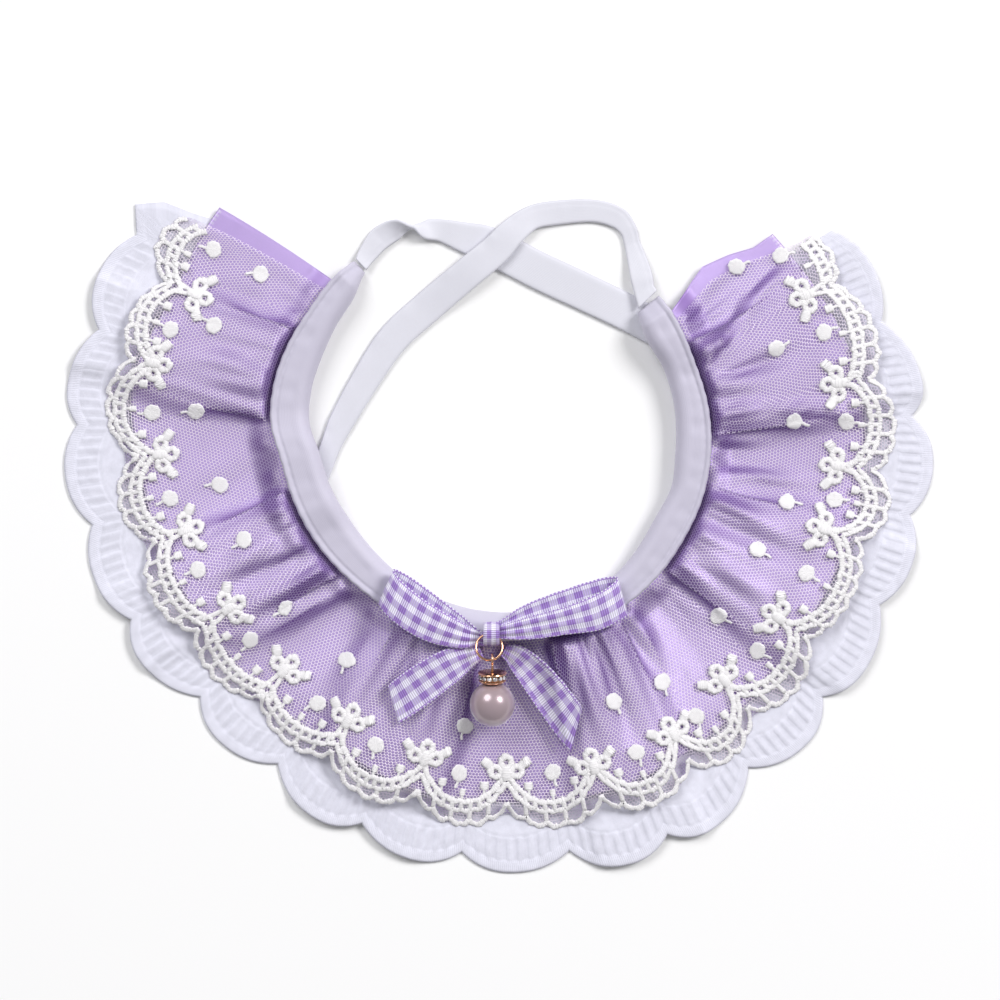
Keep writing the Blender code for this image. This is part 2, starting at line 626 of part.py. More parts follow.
def make_tail(name, rows, look):
    """A bow tail: lies on the tulle from the knot to its slanted cut."""
    path = smooth_rows(rows, 3)
    centre = np.stack([path[:, 0], path[:, 1], np.zeros(len(path))], axis=1)
    along = np.gradient(centre, axis=0)
    heading = np.arctan2(along[:, 1], along[:, 0]) + pi / 2 + np.radians(path[:, 3])
    across = np.stack([np.cos(heading), np.sin(heading), np.zeros(len(path))], axis=1)
    points = strip_points(centre, across, path[:, 2], 5)
    points[..., 2] = cloth_top(points[..., 0], points[..., 1]) + GAP
    points += np.array([NECK_X, NECK_Y, 0.0])
    wall(surface(name, points, look), CLOTH, 1)


def make_knot(look):
    """The knot: a ribbon wrapped round the middle of the bow, open along X."""
    turns = np.linspace(0, 2 * pi, 20, endpoint=False)
    middle = TAPE_HEIGHT + 0.3 + 0.5 * KNOT_TALL
    rows = []
    for place in np.linspace(1, -1, 4):
        pinch = KNOT_BARREL * place * place
        x = np.full(len(turns), NECK_X + KNOT_X + 0.5 * KNOT_WIDTH * place)
        y = NECK_Y + KNOT_Y + (0.5 * KNOT_DEPTH - pinch) * np.cos(turns)
        z = middle + (0.5 * KNOT_TALL - pinch) * np.sin(turns)
        rows.append(np.stack([x, y, z], axis=-1))
    wall(surface("bow_knot", np.array(rows), look, closed=True), CLOTH, -1)


# ---------------------------------------------------------------------- charm
def empty(name, place, tilt, parent=None):
    """An empty on a joint's axis."""
    made = bpy.data.objects.new(name, None)
    made.location = [value * MM for value in place]
    made.rotation_euler = (radians(tilt), 0, 0)
    made.parent = parent
    parts.objects.link(made)
    return made


def make_ring(axis, look):
    """Jump ring, hung by its top wire in the knot."""
    bpy.ops.mesh.primitive_torus_add(major_segments=30, minor_segments=8,
                                     major_radius=RING_RADIUS * MM, minor_radius=WIRE * MM)
    ring = bpy.context.object
    ring.name = "jump_ring"
    for owner in list(ring.users_collection):
        owner.objects.unlink(ring)
    parts.objects.link(ring)
    ring.parent = axis
    ring.location = (0, -RING_RADIUS * MM, 0)
    ring.data.materials.append(look)
    ring.data.shade_smooth()


def turned(name, profile, look, parent):
    """A solid turned about the charm's own axis."""
    mesh = bpy.data.meshes.new(name)
    points = [(radius * MM, 0, -down * MM) for radius, down in profile]
    edges = [(k, k + 1) for k in range(len(points) - 1)]
    if profile[0][0] > 0:
        edges.append((len(points) - 1, 0))
    mesh.from_pydata(points, edges, [])
    made = add_object(name, mesh, look, parent)
    made.rotation_euler = (radians(-90), 0, 0)
    screw = made.modifiers.new("turn", "SCREW")
    screw.steps = 20
    screw.render_steps = 20
    screw.use_merge_vertices = True
    screw.merge_threshold = 0.00001
    screw.use_normal_calculate = True
    return made


def make_eye_pin(parent, look):
    """Wire bent to an open eye, its stem running down into the pearl."""
    stem = [(0.0, -PIN_END), (0.0, -4.0), (0.0, -EYE_RADIUS - 0.5)]
    bend = [(EYE_RADIUS * sin(radians(a)), -EYE_RADIUS * cos(radians(a)))
            for a in np.linspace(0, 360 - EYE_OPEN, 19)]
    curve = bpy.data.curves.new("eye_pin", "CURVE")
    curve.dimensions = "3D"
    curve.bevel_depth = WIRE * MM
    curve.bevel_resolution = 1
    curve.use_fill_caps = True
    line = curve.splines.new("POLY")
    line.points.add(len(stem) + len(bend) - 1)
    for point, (side, tall) in zip(line.points, stem + bend):
        point.co = (0, side * MM, tall * MM, 1)
    curve.materials.append(look)
    pin = bpy.data.objects.new("eye_pin", curve)
    pin.parent = parent
    pin.rotation_euler = (radians(-90), 0, 0)
    parts.objects.link(pin)


def make_charm(parent, gold, pearl):
    """Eye pin, stone-set cap and pearl, one below the other."""
    make_eye_pin(parent, gold)
    cap = [(BORE, CAP_TOP), (CAP_RADIUS - 0.1, CAP_TOP), (CAP_RADIUS, CAP_TOP + RIM / 2),
           (CAP_RADIUS - 0.1, CAP_TOP + RIM), (STONE_RADIUS, CAP_TOP + RIM),
           (STONE_RADIUS, CAP_HIP), (CAP_RADIUS - 0.3, CAP_HIP + 0.1),
           (CAP_RADIUS - 0.6, CAP_FOOT - 0.1), (CAP_RADIUS - 0.9, CAP_FOOT),
           (CAP_RADIUS - 1.5, CAP_HIP + 0.3), (BORE, CAP_HIP + 0.3)]
    turned("pearl_cap", cap, gold, parent)
    start = np.arcsin(BORE / PEARL_RADIUS)
    sweep = np.linspace(start, pi, 12)
    bead = [(0.0, PIN_END + 0.3), (BORE, PIN_END + 0.3)]
    bead += [(PEARL_RADIUS * sin(a), PEARL_CENTRE - PEARL_RADIUS * cos(a)) for a in sweep[:-1]]
    bead.append((0.0, PEARL_CENTRE + PEARL_RADIUS))
    turned("pearl", bead, pearl, parent)


# ----------------------------------------------------------------- the collar
clear_scene()
parts = bpy.data.collections.new("cat_bib_collar")
bpy.context.scene.collection.children.link(parts)

white_cotton = material("white_cotton", WHITE_COTTON)
white_tape = material("white_tape", WHITE_TAPE)
gingham = material("lilac_gingham", GINGHAM)
rose_gold = material("rose_gold", ROSE_GOLD)

make_cotton(white_cotton)
make_satin(material("lilac_satin", LILAC_SATIN))
make_tulle(material("lilac_tulle", LILAC_TULLE))
make_neck_tape(white_tape)
make_tie("tie_left", TIE_LEFT, white_tape)
make_tie("tie_right", TIE_RIGHT, white_tape)
make_loop("bow_loop_left", LOOP_LEFT, -1, LOOP_LEFT_HEADING, gingham)
make_loop("bow_loop_right", LOOP_RIGHT, 1, LOOP_RIGHT_HEADING, gingham)
make_tail("bow_tail_left", TAIL_LEFT, gingham)
make_tail("bow_tail_right", TAIL_RIGHT, gingham)
make_knot(gingham)

ring_axis = empty("ring_axis", (NECK_X + RING_X, NECK_Y + RING_TOP_Y, RING_TOP_Z), -RING_TILT)
eye_down = RING_RADIUS + sqrt(RING_RADIUS**2 - EYE_ASIDE**2)
pearl_axis = empty("pearl_axis", (EYE_ASIDE, -eye_down, 0), RING_TILT + CHARM_TILT, ring_axis)
make_ring(ring_axis, rose_gold)
make_charm(pearl_axis, rose_gold, material("pearl_white", PEARL_WHITE))
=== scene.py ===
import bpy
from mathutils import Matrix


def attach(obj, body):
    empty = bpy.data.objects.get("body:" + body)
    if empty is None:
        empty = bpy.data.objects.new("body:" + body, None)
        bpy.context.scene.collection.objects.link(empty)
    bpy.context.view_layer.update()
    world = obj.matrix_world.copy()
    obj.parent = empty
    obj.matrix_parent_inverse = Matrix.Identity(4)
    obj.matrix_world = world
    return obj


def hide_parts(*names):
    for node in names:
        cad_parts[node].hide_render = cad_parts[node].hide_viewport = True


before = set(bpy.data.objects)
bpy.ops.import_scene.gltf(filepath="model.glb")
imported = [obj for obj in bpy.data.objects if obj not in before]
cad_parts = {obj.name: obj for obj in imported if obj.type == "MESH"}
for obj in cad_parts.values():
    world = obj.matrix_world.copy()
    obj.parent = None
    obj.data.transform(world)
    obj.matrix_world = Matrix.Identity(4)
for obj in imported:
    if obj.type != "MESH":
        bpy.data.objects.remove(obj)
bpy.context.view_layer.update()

from math import cos, pi, radians, sin, sqrt

import bpy
import numpy as np
from mathutils import Vector

# Cat bib collar, laid flat. The cloth is laid out in polar sizes about the middle of the
# neck: angle 0 points to the bow and grows towards +X. Tables are in mm and degrees.

mm = 0.001
neckMiddle = np.array([0.735, 25.44, 0.0])   # middle of the neck opening
up = np.array([0.0, 0.0, 1.0])

print("stage 1: tables and cloth formulas")

# neck tape: angle, inner edge, outer edge, height
neckRows = np.array((
    (-138, 47.0, 50.6, 2.6), (-135.5, 46.2, 50.9, 4.6), (-133, 45.3, 51.1, 6.3),
    (-120, 44.2, 51.5, 6.3), (-110, 44.1, 52.4, 6.3), (-100, 44.4, 53.1, 6.3),
    (-90, 44.0, 52.9, 6.3), (-82, 42.4, 51.4, 6.3), (-70, 41.7, 50.8, 6.3),
    (-58, 41.1, 50.5, 6.3), (-45, 41.2, 49.9, 6.3), (-20, 42.4, 49.5, 6.3),
    (0, 43.0, 49.5, 6.3), (20, 43.3, 49.7, 6.3), (36, 43.1, 50.1, 6.3),
    (46, 42.2, 49.8, 6.3), (58, 41.1, 49.2, 6.3), (70, 41.3, 48.9, 6.3),
    (80, 40.3, 48.4, 6.3), (95, 39.7, 47.4, 6.3), (108, 39.2, 46.4, 6.3),
    (124.5, 38.8, 46.6, 6.3), (127, 39.5, 46.6, 4.5), (129.5, 40.3, 46.6, 2.6),
)).T
tapeTall = 6.3
# where the tape rides over a tucked tie end: angle, flat reach, fading reach
tuckRows = ((-75, 8, 12), (128, 9.5, 15))
tuckRise = 1.6

# box pleats: left edge at neck and hem, right edge at neck and hem, rise at neck and hem, and
# how much wider than usual the cloth slopes down on the left and on the right
pleatRows = (
    (-114.5, -111.0, -91.0, -96.5, 3.8, 1.4, 1.6, 0.9),
    (-72.5, -68.0, -48.0, -54.0, 4.0, 1.5, 1.0, 1.7),
    (-27.0, -28.5, -6.0, -10.5, 4.3, 1.9, 2.2, 1.2),
    (13.0, 13.0, 31.0, 27.5, 4.0, 1.4, 0.8, 2.0),
    (49.0, 51.5, 73.0, 73.0, 3.6, 1.4, 0.8, 2.2),
    (88.0, 93.0, 113.0, 116.5, 3.8, 1.4, 1.0, 1.4),
)
pleat = {
    "neckRadius": 50.0,      # where the table's neck and hem angles are read
    "hemRadius": 82.0,
    "start": 0.2,            # pleats open this far outside the tape
    "open": 6.5,             # and stand at full height this much further out
    "crown": 0.5,            # swell in the middle of a raised panel
    "roll": 0.7,             # rounded fold along a panel's edge
    "rollWidth": 2.2,
    "dome": 0.35,            # share by which a panel's sides sink and its middle swells
    "trough": 1.1,           # how far a hollow sags between two panels
    "lowest": 1.0,           # the cloth stays this far above the cotton at least
    "neckSkirt": 2.3,        # run of cloth down a pleat's side, near the neck
    "hemSkirt": 5.2,
    "tuckUnder": 0.4,        # share of the skirt that slides back under the panel
}

# scallops of the cotton: valley angle, valley radius, peak angle, peak radius, bar strength
scallopRows = np.array((
    (-117.5, 94.5, -110.0, 98.9, 0.25), (-103.3, 95.0, -96.0, 100.1, 0.4),
    (-90.0, 97.5, -83.0, 101.0, 0.5), (-76.3, 96.8, -69.0, 100.1, 0.6),
    (-62.3, 96.1, -56.0, 99.1, 0.8), (-48.0, 93.2, -41.4, 97.5, 0.9),
    (-33.5, 93.2, -26.2, 99.8, 1.0), (-19.4, 96.8, -11.8, 101.9, 1.0),
    (-5.4, 98.4, 1.2, 102.8, 1.0), (9.0, 98.9, 15.5, 104.9, 1.0),
    (22.0, 101.2, 28.5, 104.4, 0.9), (35.7, 96.8, 43.5, 101.4, 1.0),
    (49.7, 96.4, 56.0, 100.5, 0.9), (64.5, 95.9, 71.3, 99.4, 1.0),
    (77.5, 95.9, 85.0, 99.4, 1.0), (91.3, 94.1, 96.5, 96.8, 0.9),
    (105.3, 90.2, 113.0, 92.5, 0.8),
)).T
scallopEnd = (120.4, 88.3)
scallopTip = (-121.0, 98.4)
scallopStarts = np.append(scallopRows[0], scallopEnd[0])
arcPower = 2.3               # power of the arcs between two valleys

# satin hem: angle, radius
satinHem = np.array((
    (-128, 81.9), (-110, 81.6), (-95, 85.4), (-85, 84.0), (-70, 83.3), (-55, 82.1),
    (-40, 82.8), (-26, 83.5), (-13, 86.2), (0, 86.5), (15, 87.4), (30, 86.3),
    (45, 84.9), (60, 83.6), (75, 84.2), (90, 83.2), (100, 82.0), (110, 79.4),
    (118, 77.4), (125, 76.1),
)).T

# lace border arcs: sprig angle, outer valley, outer peak, inner peak, sprig's head radius
laceRows = np.array((
    (-124.0, 86.0, 90.2, 84.2, 74.0), (-113.0, 84.5, 89.2, 84.6, 74.7),
    (-100.0, 87.3, 91.5, 86.9, 79.3), (-85.0, 85.5, 90.4, 84.6, 77.0),
    (-71.5, 85.5, 89.9, 83.5, 74.7), (-56.0, 85.6, 88.6, 82.8, 73.6),
    (-41.5, 84.4, 88.8, 83.3, 73.6), (-27.5, 86.0, 91.5, 86.0, 74.7),
    (-13.0, 87.6, 92.9, 86.9, 76.6), (0.7, 88.6, 93.8, 87.4, 78.2),
    (15.0, 89.8, 94.3, 88.3, 79.3), (29.0, 89.6, 93.4, 87.4, 79.3),
    (41.0, 87.6, 91.5, 84.6, 75.9), (55.0, 86.3, 89.9, 85.1, 75.4),
    (72.0, 86.9, 91.5, 85.6, 75.9), (83.0, 87.3, 90.9, 84.6, 75.9),
    (97.0, 86.3, 88.6, 82.8, 75.9), (113.0, 83.4, 85.8, 81.0, 74.1),
)).T
laceEnd = (122.0, 83.0)
laceStarts = np.append(laceRows[0], laceEnd[0])

# cut ends of the layers: radius, angle
satinLeft = ((46, -130.6), (51, -130.4), (82, -127.6))
satinRight = ((40, 121.4), (46.6, 121.8), (51, 124.2), (59, 127.2), (63, 128.3), (70, 126.9), (76, 125.2))
netLeft = ((46, -130.2), (51, -127.4), (76, -125.2), (82, -124.6), (90, -123.6))
netRight = ((40, 121.2), (46.6, 119.6), (51, 121.4), (63, 124.8), (75, 123.4), (80, 122.4), (86, 121.6))
cottonLeft = ((46, -130.2), (51, -129.6), (82, -124.4), (90, -123.4), (98, -121.0))
cottonRight = ((40, 121.4), (47, 121.6), (77, 122.0), (88, 120.5))

# soft creases of satin and net: from angle, radius to angle, radius, half width, lift
softFolds = (
    (-122, 53, -118, 78, 3, 0.9), (-108, 55, -104, 80, 2.9, -0.5), (-101, 54, -104, 74, 2.6, 0.7),
    (-95, 55, -97, 70, 2.2, -0.4), (-84, 54, -80, 76, 2.4, 0.9), (-78, 55, -77, 70, 1.8, -0.8),
    (-65, 54, -62, 72, 2.6, 0.9), (-57, 54, -60, 78, 2.4, -1.1), (-51, 53, -54, 70, 1.6, 0.9),
    (-44, 53, -50, 80, 2.6, 1.6), (-38, 52, -42, 79, 4, -1.9), (-31, 52, -32, 80, 4.2, 1.4),
    (-21, 54, -23, 74, 2.2, -1.1), (-14, 54, -15, 78, 2.4, 1.1), (-2, 53, -4, 70, 1.6, 0.9),
    (4, 54, 3, 80, 2.8, -0.9), (9, 53, 8, 68, 1.5, 1.1), (18, 53, 18, 76, 2.2, 1.3),
    (24, 54, 22.5, 80, 2.4, -1.3), (35, 53, 34, 68, 1.6, 1.1), (41, 53, 40, 78, 2.6, -0.9),
    (46, 53, 46, 66, 1.4, 0.9), (57, 54, 57, 74, 2.4, 1.1), (65, 53, 66, 80, 2.8, -1.3),
    (70, 53, 69.5, 68, 1.6, 0.9), (78, 52, 80, 76, 2, 1.3), (84, 52, 86, 72, 2.2, -0.4),
    (93, 51, 94, 60, 1.3, 1.3), (94, 60, 92, 82, 1.8, 1.1), (102, 50, 104, 72, 2.4, -1.5),
    (108, 50, 117, 64, 1.6, 1.5), (117, 64, 119, 76, 1.8, 1.1), (119, 51, 123, 66, 2.2, -1.7),
)

# gathers where the frill leaves the neck tape: angle, half width in degrees, reach, lift
neckGathers = (
    (-125, 2.2, 9, 0.7), (-120, 1.8, 13, -0.7), (-115.5, 1.5, 8, 0.8), (-109, 2.4, 15, 0.6),
    (-104.5, 1.6, 10, -0.5), (-99, 2.2, 18, 0.6), (-95, 1.5, 9, -0.4), (-86, 1.7, 12, 0.8),
    (-82, 1.4, 8, -0.7), (-77.5, 2.0, 15, 0.9), (-68.5, 1.6, 10, 0.8), (-64, 1.4, 16, -1.0),
    (-59.5, 2.1, 12, 0.9), (-55, 1.3, 8, -0.7), (-51.5, 1.5, 17, 1.0), (-44, 1.9, 11, 0.9),
    (-39.5, 1.4, 14, -0.9), (-34.5, 2.0, 9, 0.8), (-29.5, 1.2, 7, -0.6), (-23, 1.7, 13, 0.8),
    (-18.5, 1.3, 9, -0.8), (-13, 2.1, 16, 0.9), (-8.5, 1.2, 8, -0.6), (-3, 1.6, 11, 0.8),
    (1.5, 1.3, 14, -0.8), (6, 1.8, 10, 0.8), (10.5, 1.2, 8, -0.6), (16, 1.6, 15, 0.9),
    (20.5, 1.3, 10, -0.9), (25.5, 2.0, 13, 1.0), (29, 1.2, 7, -0.6), (34.5, 1.8, 12, 0.9),
    (39, 1.3, 9, -0.8), (43.5, 1.9, 15, 0.9), (52.5, 1.6, 11, 0.8), (57, 1.3, 17, -1.0),
    (61.5, 2.0, 10, 0.9), (66, 1.2, 8, -0.7), (70.5, 1.6, 14, 0.9), (77, 1.9, 12, 0.8),
    (81.5, 1.4, 9, -0.9), (86, 2.1, 16, 1.0), (92.5, 1.5, 10, 0.9), (97, 1.4, 14, -1.1),
    (101.5, 2.0, 11, 1.0), (106, 1.3, 17, -0.9), (110.5, 1.7, 12, 1.1), (116, 1.9, 15, -1.0),
    (120.5, 1.6, 10, 0.9),
)


# cubic Hermite pieces through a table, slopes from the neighbours, held level past its ends
def through(x, knots, values):
    knots = np.asarray(knots, float)
    values = np.asarray(values, float)
    x = np.clip(x, knots[0], knots[-1])
    slopes = np.gradient(values, knots)
    k = np.clip(np.searchsorted(knots, x) - 1, 0, len(knots) - 2)
    step = knots[k + 1] - knots[k]
    t = (x - knots[k]) / step
    start = values[k] * (2 * t**3 - 3 * t**2 + 1) + slopes[k] * step * (t**3 - 2 * t**2 + t)
    finish = values[k + 1] * (3 * t**2 - 2 * t**3) + slopes[k + 1] * step * (t**3 - t**2)
    return start + finish


# a table's rows joined by the same curve, with so many spans between two rows
def smoothRows(rows, spans):
    table = np.array(rows, float)
    places = np.arange(len(table), dtype=float)
    fine = np.linspace(0, len(table) - 1, (len(table) - 1) * spans + 1)
    return np.stack([through(fine, places, col) for col in table.T], axis=1)


def ease(t):   # 0 to 1 with level ends: 3t^2 - 2t^3
    t = np.clip(t, 0, 1)
    return t * t * (3 - 2 * t)


def hump(t):   # 1 at t = 0, falling to 0 at t = 1 and -1: (1 - t^2)^2
    return (1 - np.clip(np.abs(t), 0, 1) ** 2) ** 2


def unit(vectors):
    return vectors / np.maximum(np.linalg.norm(vectors, axis=-1, keepdims=True), 1e-12)


def circle(count):
    return 2 * pi * np.arange(count) / count


def runLength(points, axis):   # length run from the first point on, along one axis of a grid
    first = np.take(points, [0], axis=axis)
    return np.cumsum(np.linalg.norm(np.diff(points, axis=axis, prepend=first), axis=-1), axis=axis)


def polar(angle, radius, height):   # x = r sin a, y = -r cos a about the neck
    turn = np.radians(angle)
    return np.stack([radius * np.sin(turn), -radius * np.cos(turn), height], axis=-1) + neckMiddle


def neckEdge(angle, column):
    return through(angle, neckRows[0], neckRows[column])


def cutAngle(radius, ends):
    table = np.array(ends, float).T
    return np.interp(radius, table[0], table[1])


# uneven sum of sines along x; pairs of wavelength and share
def uneven(x, waves):
    total = np.zeros_like(x)
    for k, (length, share) in enumerate(waves):
        total = total + share * np.sin(2 * pi * x / length + 1.7 * k * k + 0.6)
    return total


def tuckLift(angle):   # rise over the tucked tie ends, fading by an ease curve
    lift = np.zeros_like(angle)
    for middle, flat, fade in tuckRows:
        lift = np.maximum(lift, tuckRise * (1 - ease((np.abs(angle - middle) - flat) / fade)))
    return lift


def panelEdges(row, radius):
    down = np.clip((radius - pleat["neckRadius"]) / (pleat["hemRadius"] - pleat["neckRadius"]), 0, 1.3)
    return row[0] + (row[1] - row[0]) * down, row[2] + (row[3] - row[2]) * down, down


def standing(angle, radius):   # 0 at the tape, 1 at full height: 1 - (1 - t)^3
    out = radius - neckEdge(angle, 2) - pleat["start"]
    return 1 - (1 - np.clip(out / pleat["open"], 0, 1)) ** 3


def skirtRun(radius, wider):
    spread = pleat["hemSkirt"] - pleat["neckSkirt"] * wider
    return pleat["neckSkirt"] * wider + np.maximum(spread, 0) * ease((radius - 54) / 26)


def nearPanel(row, angle, radius):   # 1 over a panel, falling by a square to 0 at 5.5 mm beside it
    left, right, _ = panelEdges(row, radius)
    outside = np.maximum(np.maximum(left - angle, angle - right), 0) * radius * pi / 180
    return np.clip(1 - outside / 5.5, 0, 1) ** 2


# underside of the cotton: up in the tape, flat on the table, lifted at the hem under each pleat
def cottonUnder(angle, radius):
    lift = tuckLift(angle)
    out = radius - neckEdge(angle, 2) - 0.6
    fall = 1 - ease(out / (4.8 + 1.5 * lift))
    ripple = np.zeros_like(angle)
    for row in pleatRows:
        ripple += nearPanel(row, angle, radius)
    return (1.3 + lift) * fall + 1.1 * ripple * ease((radius - 70) / 24)


# soft creases: a hump across each segment, fading at its two ends
def creaseLift(angle, radius):
    turn = np.radians(angle)
    x, y = radius * np.sin(turn), -radius * np.cos(turn)
    total = np.zeros_like(x)
    for angleA, radiusA, angleB, radiusB, width, lift in softFolds:
        ax, ay = radiusA * sin(radians(angleA)), -radiusA * cos(radians(angleA))
        bx, by = radiusB * sin(radians(angleB)), -radiusB * cos(radians(angleB))
        length = sqrt((bx - ax) ** 2 + (by - ay) ** 2)
        dx, dy = (bx - ax) / length, (by - ay) / length
        along = ((x - ax) * dx + (y - ay) * dy) / length
        aside = (x - ax) * -dy + (y - ay) * dx
        spread = width * (0.7 + 0.9 * np.clip(along, 0, 1))
        total += lift * hump(aside / spread) * hump(np.clip((along - 0.4) / 0.75, -1, 1))
    return total


# gathers: a hump across each, risen 3 mm from the tape and faded out at its reach
def gatherLift(angle, radius):
    out = radius - neckEdge(angle, 2)
    total = np.zeros_like(angle)
    for middle, half, reach, lift in neckGathers:
        total += lift * hump((angle - middle) / half) * ease(out / 3) * (1 - ease((out - 2) / reach))
    return total


# satin and net: cotton's underside + lift + pleats + creases; down a pleat's side the cloth
# slides sin^2 far back under its panel, so that the fold hangs over
def frillPoints(angle, radius, lift, grow=0.0):
    opened = standing(angle, radius)
    sag = np.ones_like(angle)
    tuck = pleat["tuckUnder"] * (1 - ease((radius - 57) / 15)) * opened
    height = np.zeros_like(angle)
    slide = np.zeros_like(angle)
    for row in pleatRows:
        left, right, down = panelEdges(row, radius)
        toLeft = (left - angle) * radius * pi / 180 - grow
        toRight = (angle - right) * radius * pi / 180 - grow
        skirt = skirtRun(radius, np.where(toLeft > toRight, row[6], row[7]))
        t = np.clip(np.maximum(toLeft, toRight) / skirt, 0, 1)
        across = np.clip((angle - left) / (right - left), 0, 1)
        inside = np.minimum(-toLeft, -toRight)
        roll = pleat["roll"] * hump((inside - pleat["rollWidth"]) / pleat["rollWidth"]) * (1 - 0.75 * down)
        bulge = 4 * across * (1 - across)
        dome = 1 + pleat["dome"] * (1.6 * bulge - 1) * (1 - 0.8 * down)
        height += (row[4] * dome + (row[5] - row[4]) * down) * (1 - ease(t)) + roll
        height += pleat["crown"] * bulge * (1 - ease(t)) * down
        sag *= ease((np.maximum(toLeft, toRight) - 0.7 * skirt) / 5)
        slide += np.where(toLeft > toRight, 1, -1) * tuck * skirt * np.sin(pi * t) ** 2
    height = height - pleat["trough"] * sag * (1 - 0.6 * np.minimum(down, 1))
    height = (height + creaseLift(angle, radius)) * opened + gatherLift(angle, radius)
    lowest = pleat["lowest"]
    height = np.where(height < 0, lowest * (np.exp(np.minimum(height, 0) / lowest) - 1), height)
    return polar(angle + np.degrees(slide / radius), radius, cottonUnder(angle, radius) + lift + height)


def arcBetween(t):   # 0 at both ends and 1 in the middle: 1 - |2t - 1|^p
    return 1 - np.abs(2 * t - 1) ** arcPower


def arcPlace(angle, starts):   # number of the arc that an angle is in, and the place in it, 0 to 1
    k = np.clip(np.searchsorted(starts, angle, side="right") - 1, 0, len(starts) - 2)
    return k, np.clip((angle - starts[k]) / (starts[k + 1] - starts[k]), 0, 1)


def scallopRadius(angle):   # arc between two valleys, leaning towards its own peak
    starts = scallopStarts
    valleys = np.append(scallopRows[1], scallopEnd[1])
    k, t = arcPlace(angle, starts)
    top = (scallopRows[2][k] - starts[k]) / (starts[k + 1] - starts[k])
    lean = np.where(t < top, 0.5 * t / top, 0.5 + 0.5 * (t - top) / (1 - top))
    base = valleys[k] + (valleys[k + 1] - valleys[k]) * t
    rise = scallopRows[3][k] - (valleys[k] + (valleys[k + 1] - valleys[k]) * top)
    tip = (angle - starts[0]) / (scallopTip[0] - starts[0])
    edge = base + rise * arcBetween(lean)
    return np.where(angle < starts[0], valleys[0] + (scallopTip[1] - valleys[0]) * tip, edge)


def laceRadius(angle):   # outer edge of the net's lace border
    valleys = np.append(laceRows[1], laceEnd[1])
    k, t = arcPlace(angle, laceStarts)
    base = valleys[k] + (valleys[k + 1] - valleys[k]) * t
    return base + (laceRows[2][k] - 0.5 * (valleys[k] + valleys[k + 1])) * arcBetween(t)


def satinRadius(angle):
    return through(angle, satinHem[0], satinHem[1])


underTape = 2.4              # the frills start this far inside the tape's outer edge
neckNominal = 47.5           # about where that is, for the run of the cut ends
satinLift = 2.05             # satin above the cotton's underside
satinDroop = 0.5             # and how far its hem sinks
netLift = 2.8                # net above the cotton's underside
netDroop = 1.8               # its border settles towards the cotton
netGrow = 0.4                # the net's pleats are wider than the satin's by this much a side


# a point of the net: past the satin hem it settles by a share that grows towards the edge
def netPoints(angle, radius, above=0.0):
    start = satinRadius(angle) + 0.8
    share = np.clip((radius - start) / np.maximum(laceRadius(angle) - start, 1.5), 0, 1.1)
    return frillPoints(angle, radius, netLift + above - netDroop * share, netGrow)


def netFrame(angle, radius):   # a point of the net and its normal, from small steps both ways
    step = 0.12
    along = netPoints(angle + step, radius) - netPoints(angle - step, radius)
    outward = netPoints(angle, radius + step) - netPoints(angle, radius - step)
    normal = unit(np.cross(outward, along))
    return netPoints(angle, radius), normal


print("stage 2: mesh and material helpers")


# a mesh from points in mm, face arrays with a fixed number of corners each, and corner UVs
def meshFrom(name, points, faceSets, cornerUvs=None):
    mesh = bpy.data.meshes.new(name)
    points = points.reshape(-1, 3)
    counts = np.concatenate([np.full(len(faces), faces.shape[1]) for faces in faceSets])
    corners = np.concatenate([faces.ravel() for faces in faceSets])
    mesh.vertices.add(len(points))
    mesh.vertices.foreach_set("co", (points * mm).astype(np.float32).ravel())
    mesh.loops.add(len(corners))
    mesh.loops.foreach_set("vertex_index", corners.astype(np.int32))
    mesh.polygons.add(len(counts))
    starts = np.concatenate([[0], np.cumsum(counts)[:-1]])
    mesh.polygons.foreach_set("loop_start", starts.astype(np.int32))
    layer = mesh.uv_layers.new(name="cloth")
    uv = np.zeros((len(corners), 2)) if cornerUvs is None else cornerUvs
    layer.uv.foreach_set("vector", uv.astype(np.float32).ravel())
    mesh.update(calc_edges=True)
    mesh.validate()
    mesh.shade_smooth()
    return mesh


def gridFaces(rows, cols, around=False, ring=False):   # quads between neighbours of a grid
    index = np.arange(rows * cols).reshape(rows, cols)
    if around:
        index = np.concatenate([index, index[:, :1]], axis=1)
    if ring:
        index = np.concatenate([index, index[:1]], axis=0)
    near, out, far, beside = index[:-1, :-1], index[1:, :-1], index[1:, 1:], index[:-1, 1:]
    return np.stack([near, out, far, beside], axis=-1).reshape(-1, 4)


# quads and end caps of closed stacks of rings, one stack after the other
def stackFaces(stacks, rows, sides):
    first = (np.arange(stacks) * rows * sides)[:, None]
    quads = (gridFaces(rows, sides, around=True)[None] + first[..., None]).reshape(-1, 4)
    turn = np.arange(sides)
    return quads, np.concatenate([first + turn, first + (rows - 1) * sides + turn[::-1]])


def cornerPairs(uv):   # the pairs at each face's four corners, from a grid of pairs
    corners = (uv[..., :-1, :-1, :], uv[..., 1:, :-1, :], uv[..., 1:, 1:, :], uv[..., :-1, 1:, :])
    return np.stack(corners, axis=-2)


# a grid surface as a piece; uv is one pair for each point, with the first again where the grid
# closes, or one for each face's four corners, or none
def gridPiece(name, points, uv, *finish, around=False, ring=False, **rest):
    faces = gridFaces(*points.shape[:2], around, ring)
    if uv is not None:
        uv = (cornerPairs(uv) if uv.ndim == 3 else uv).reshape(-1, 2)
    return finishPiece(name, meshFrom(name, points, [faces], uv), *finish, **rest)


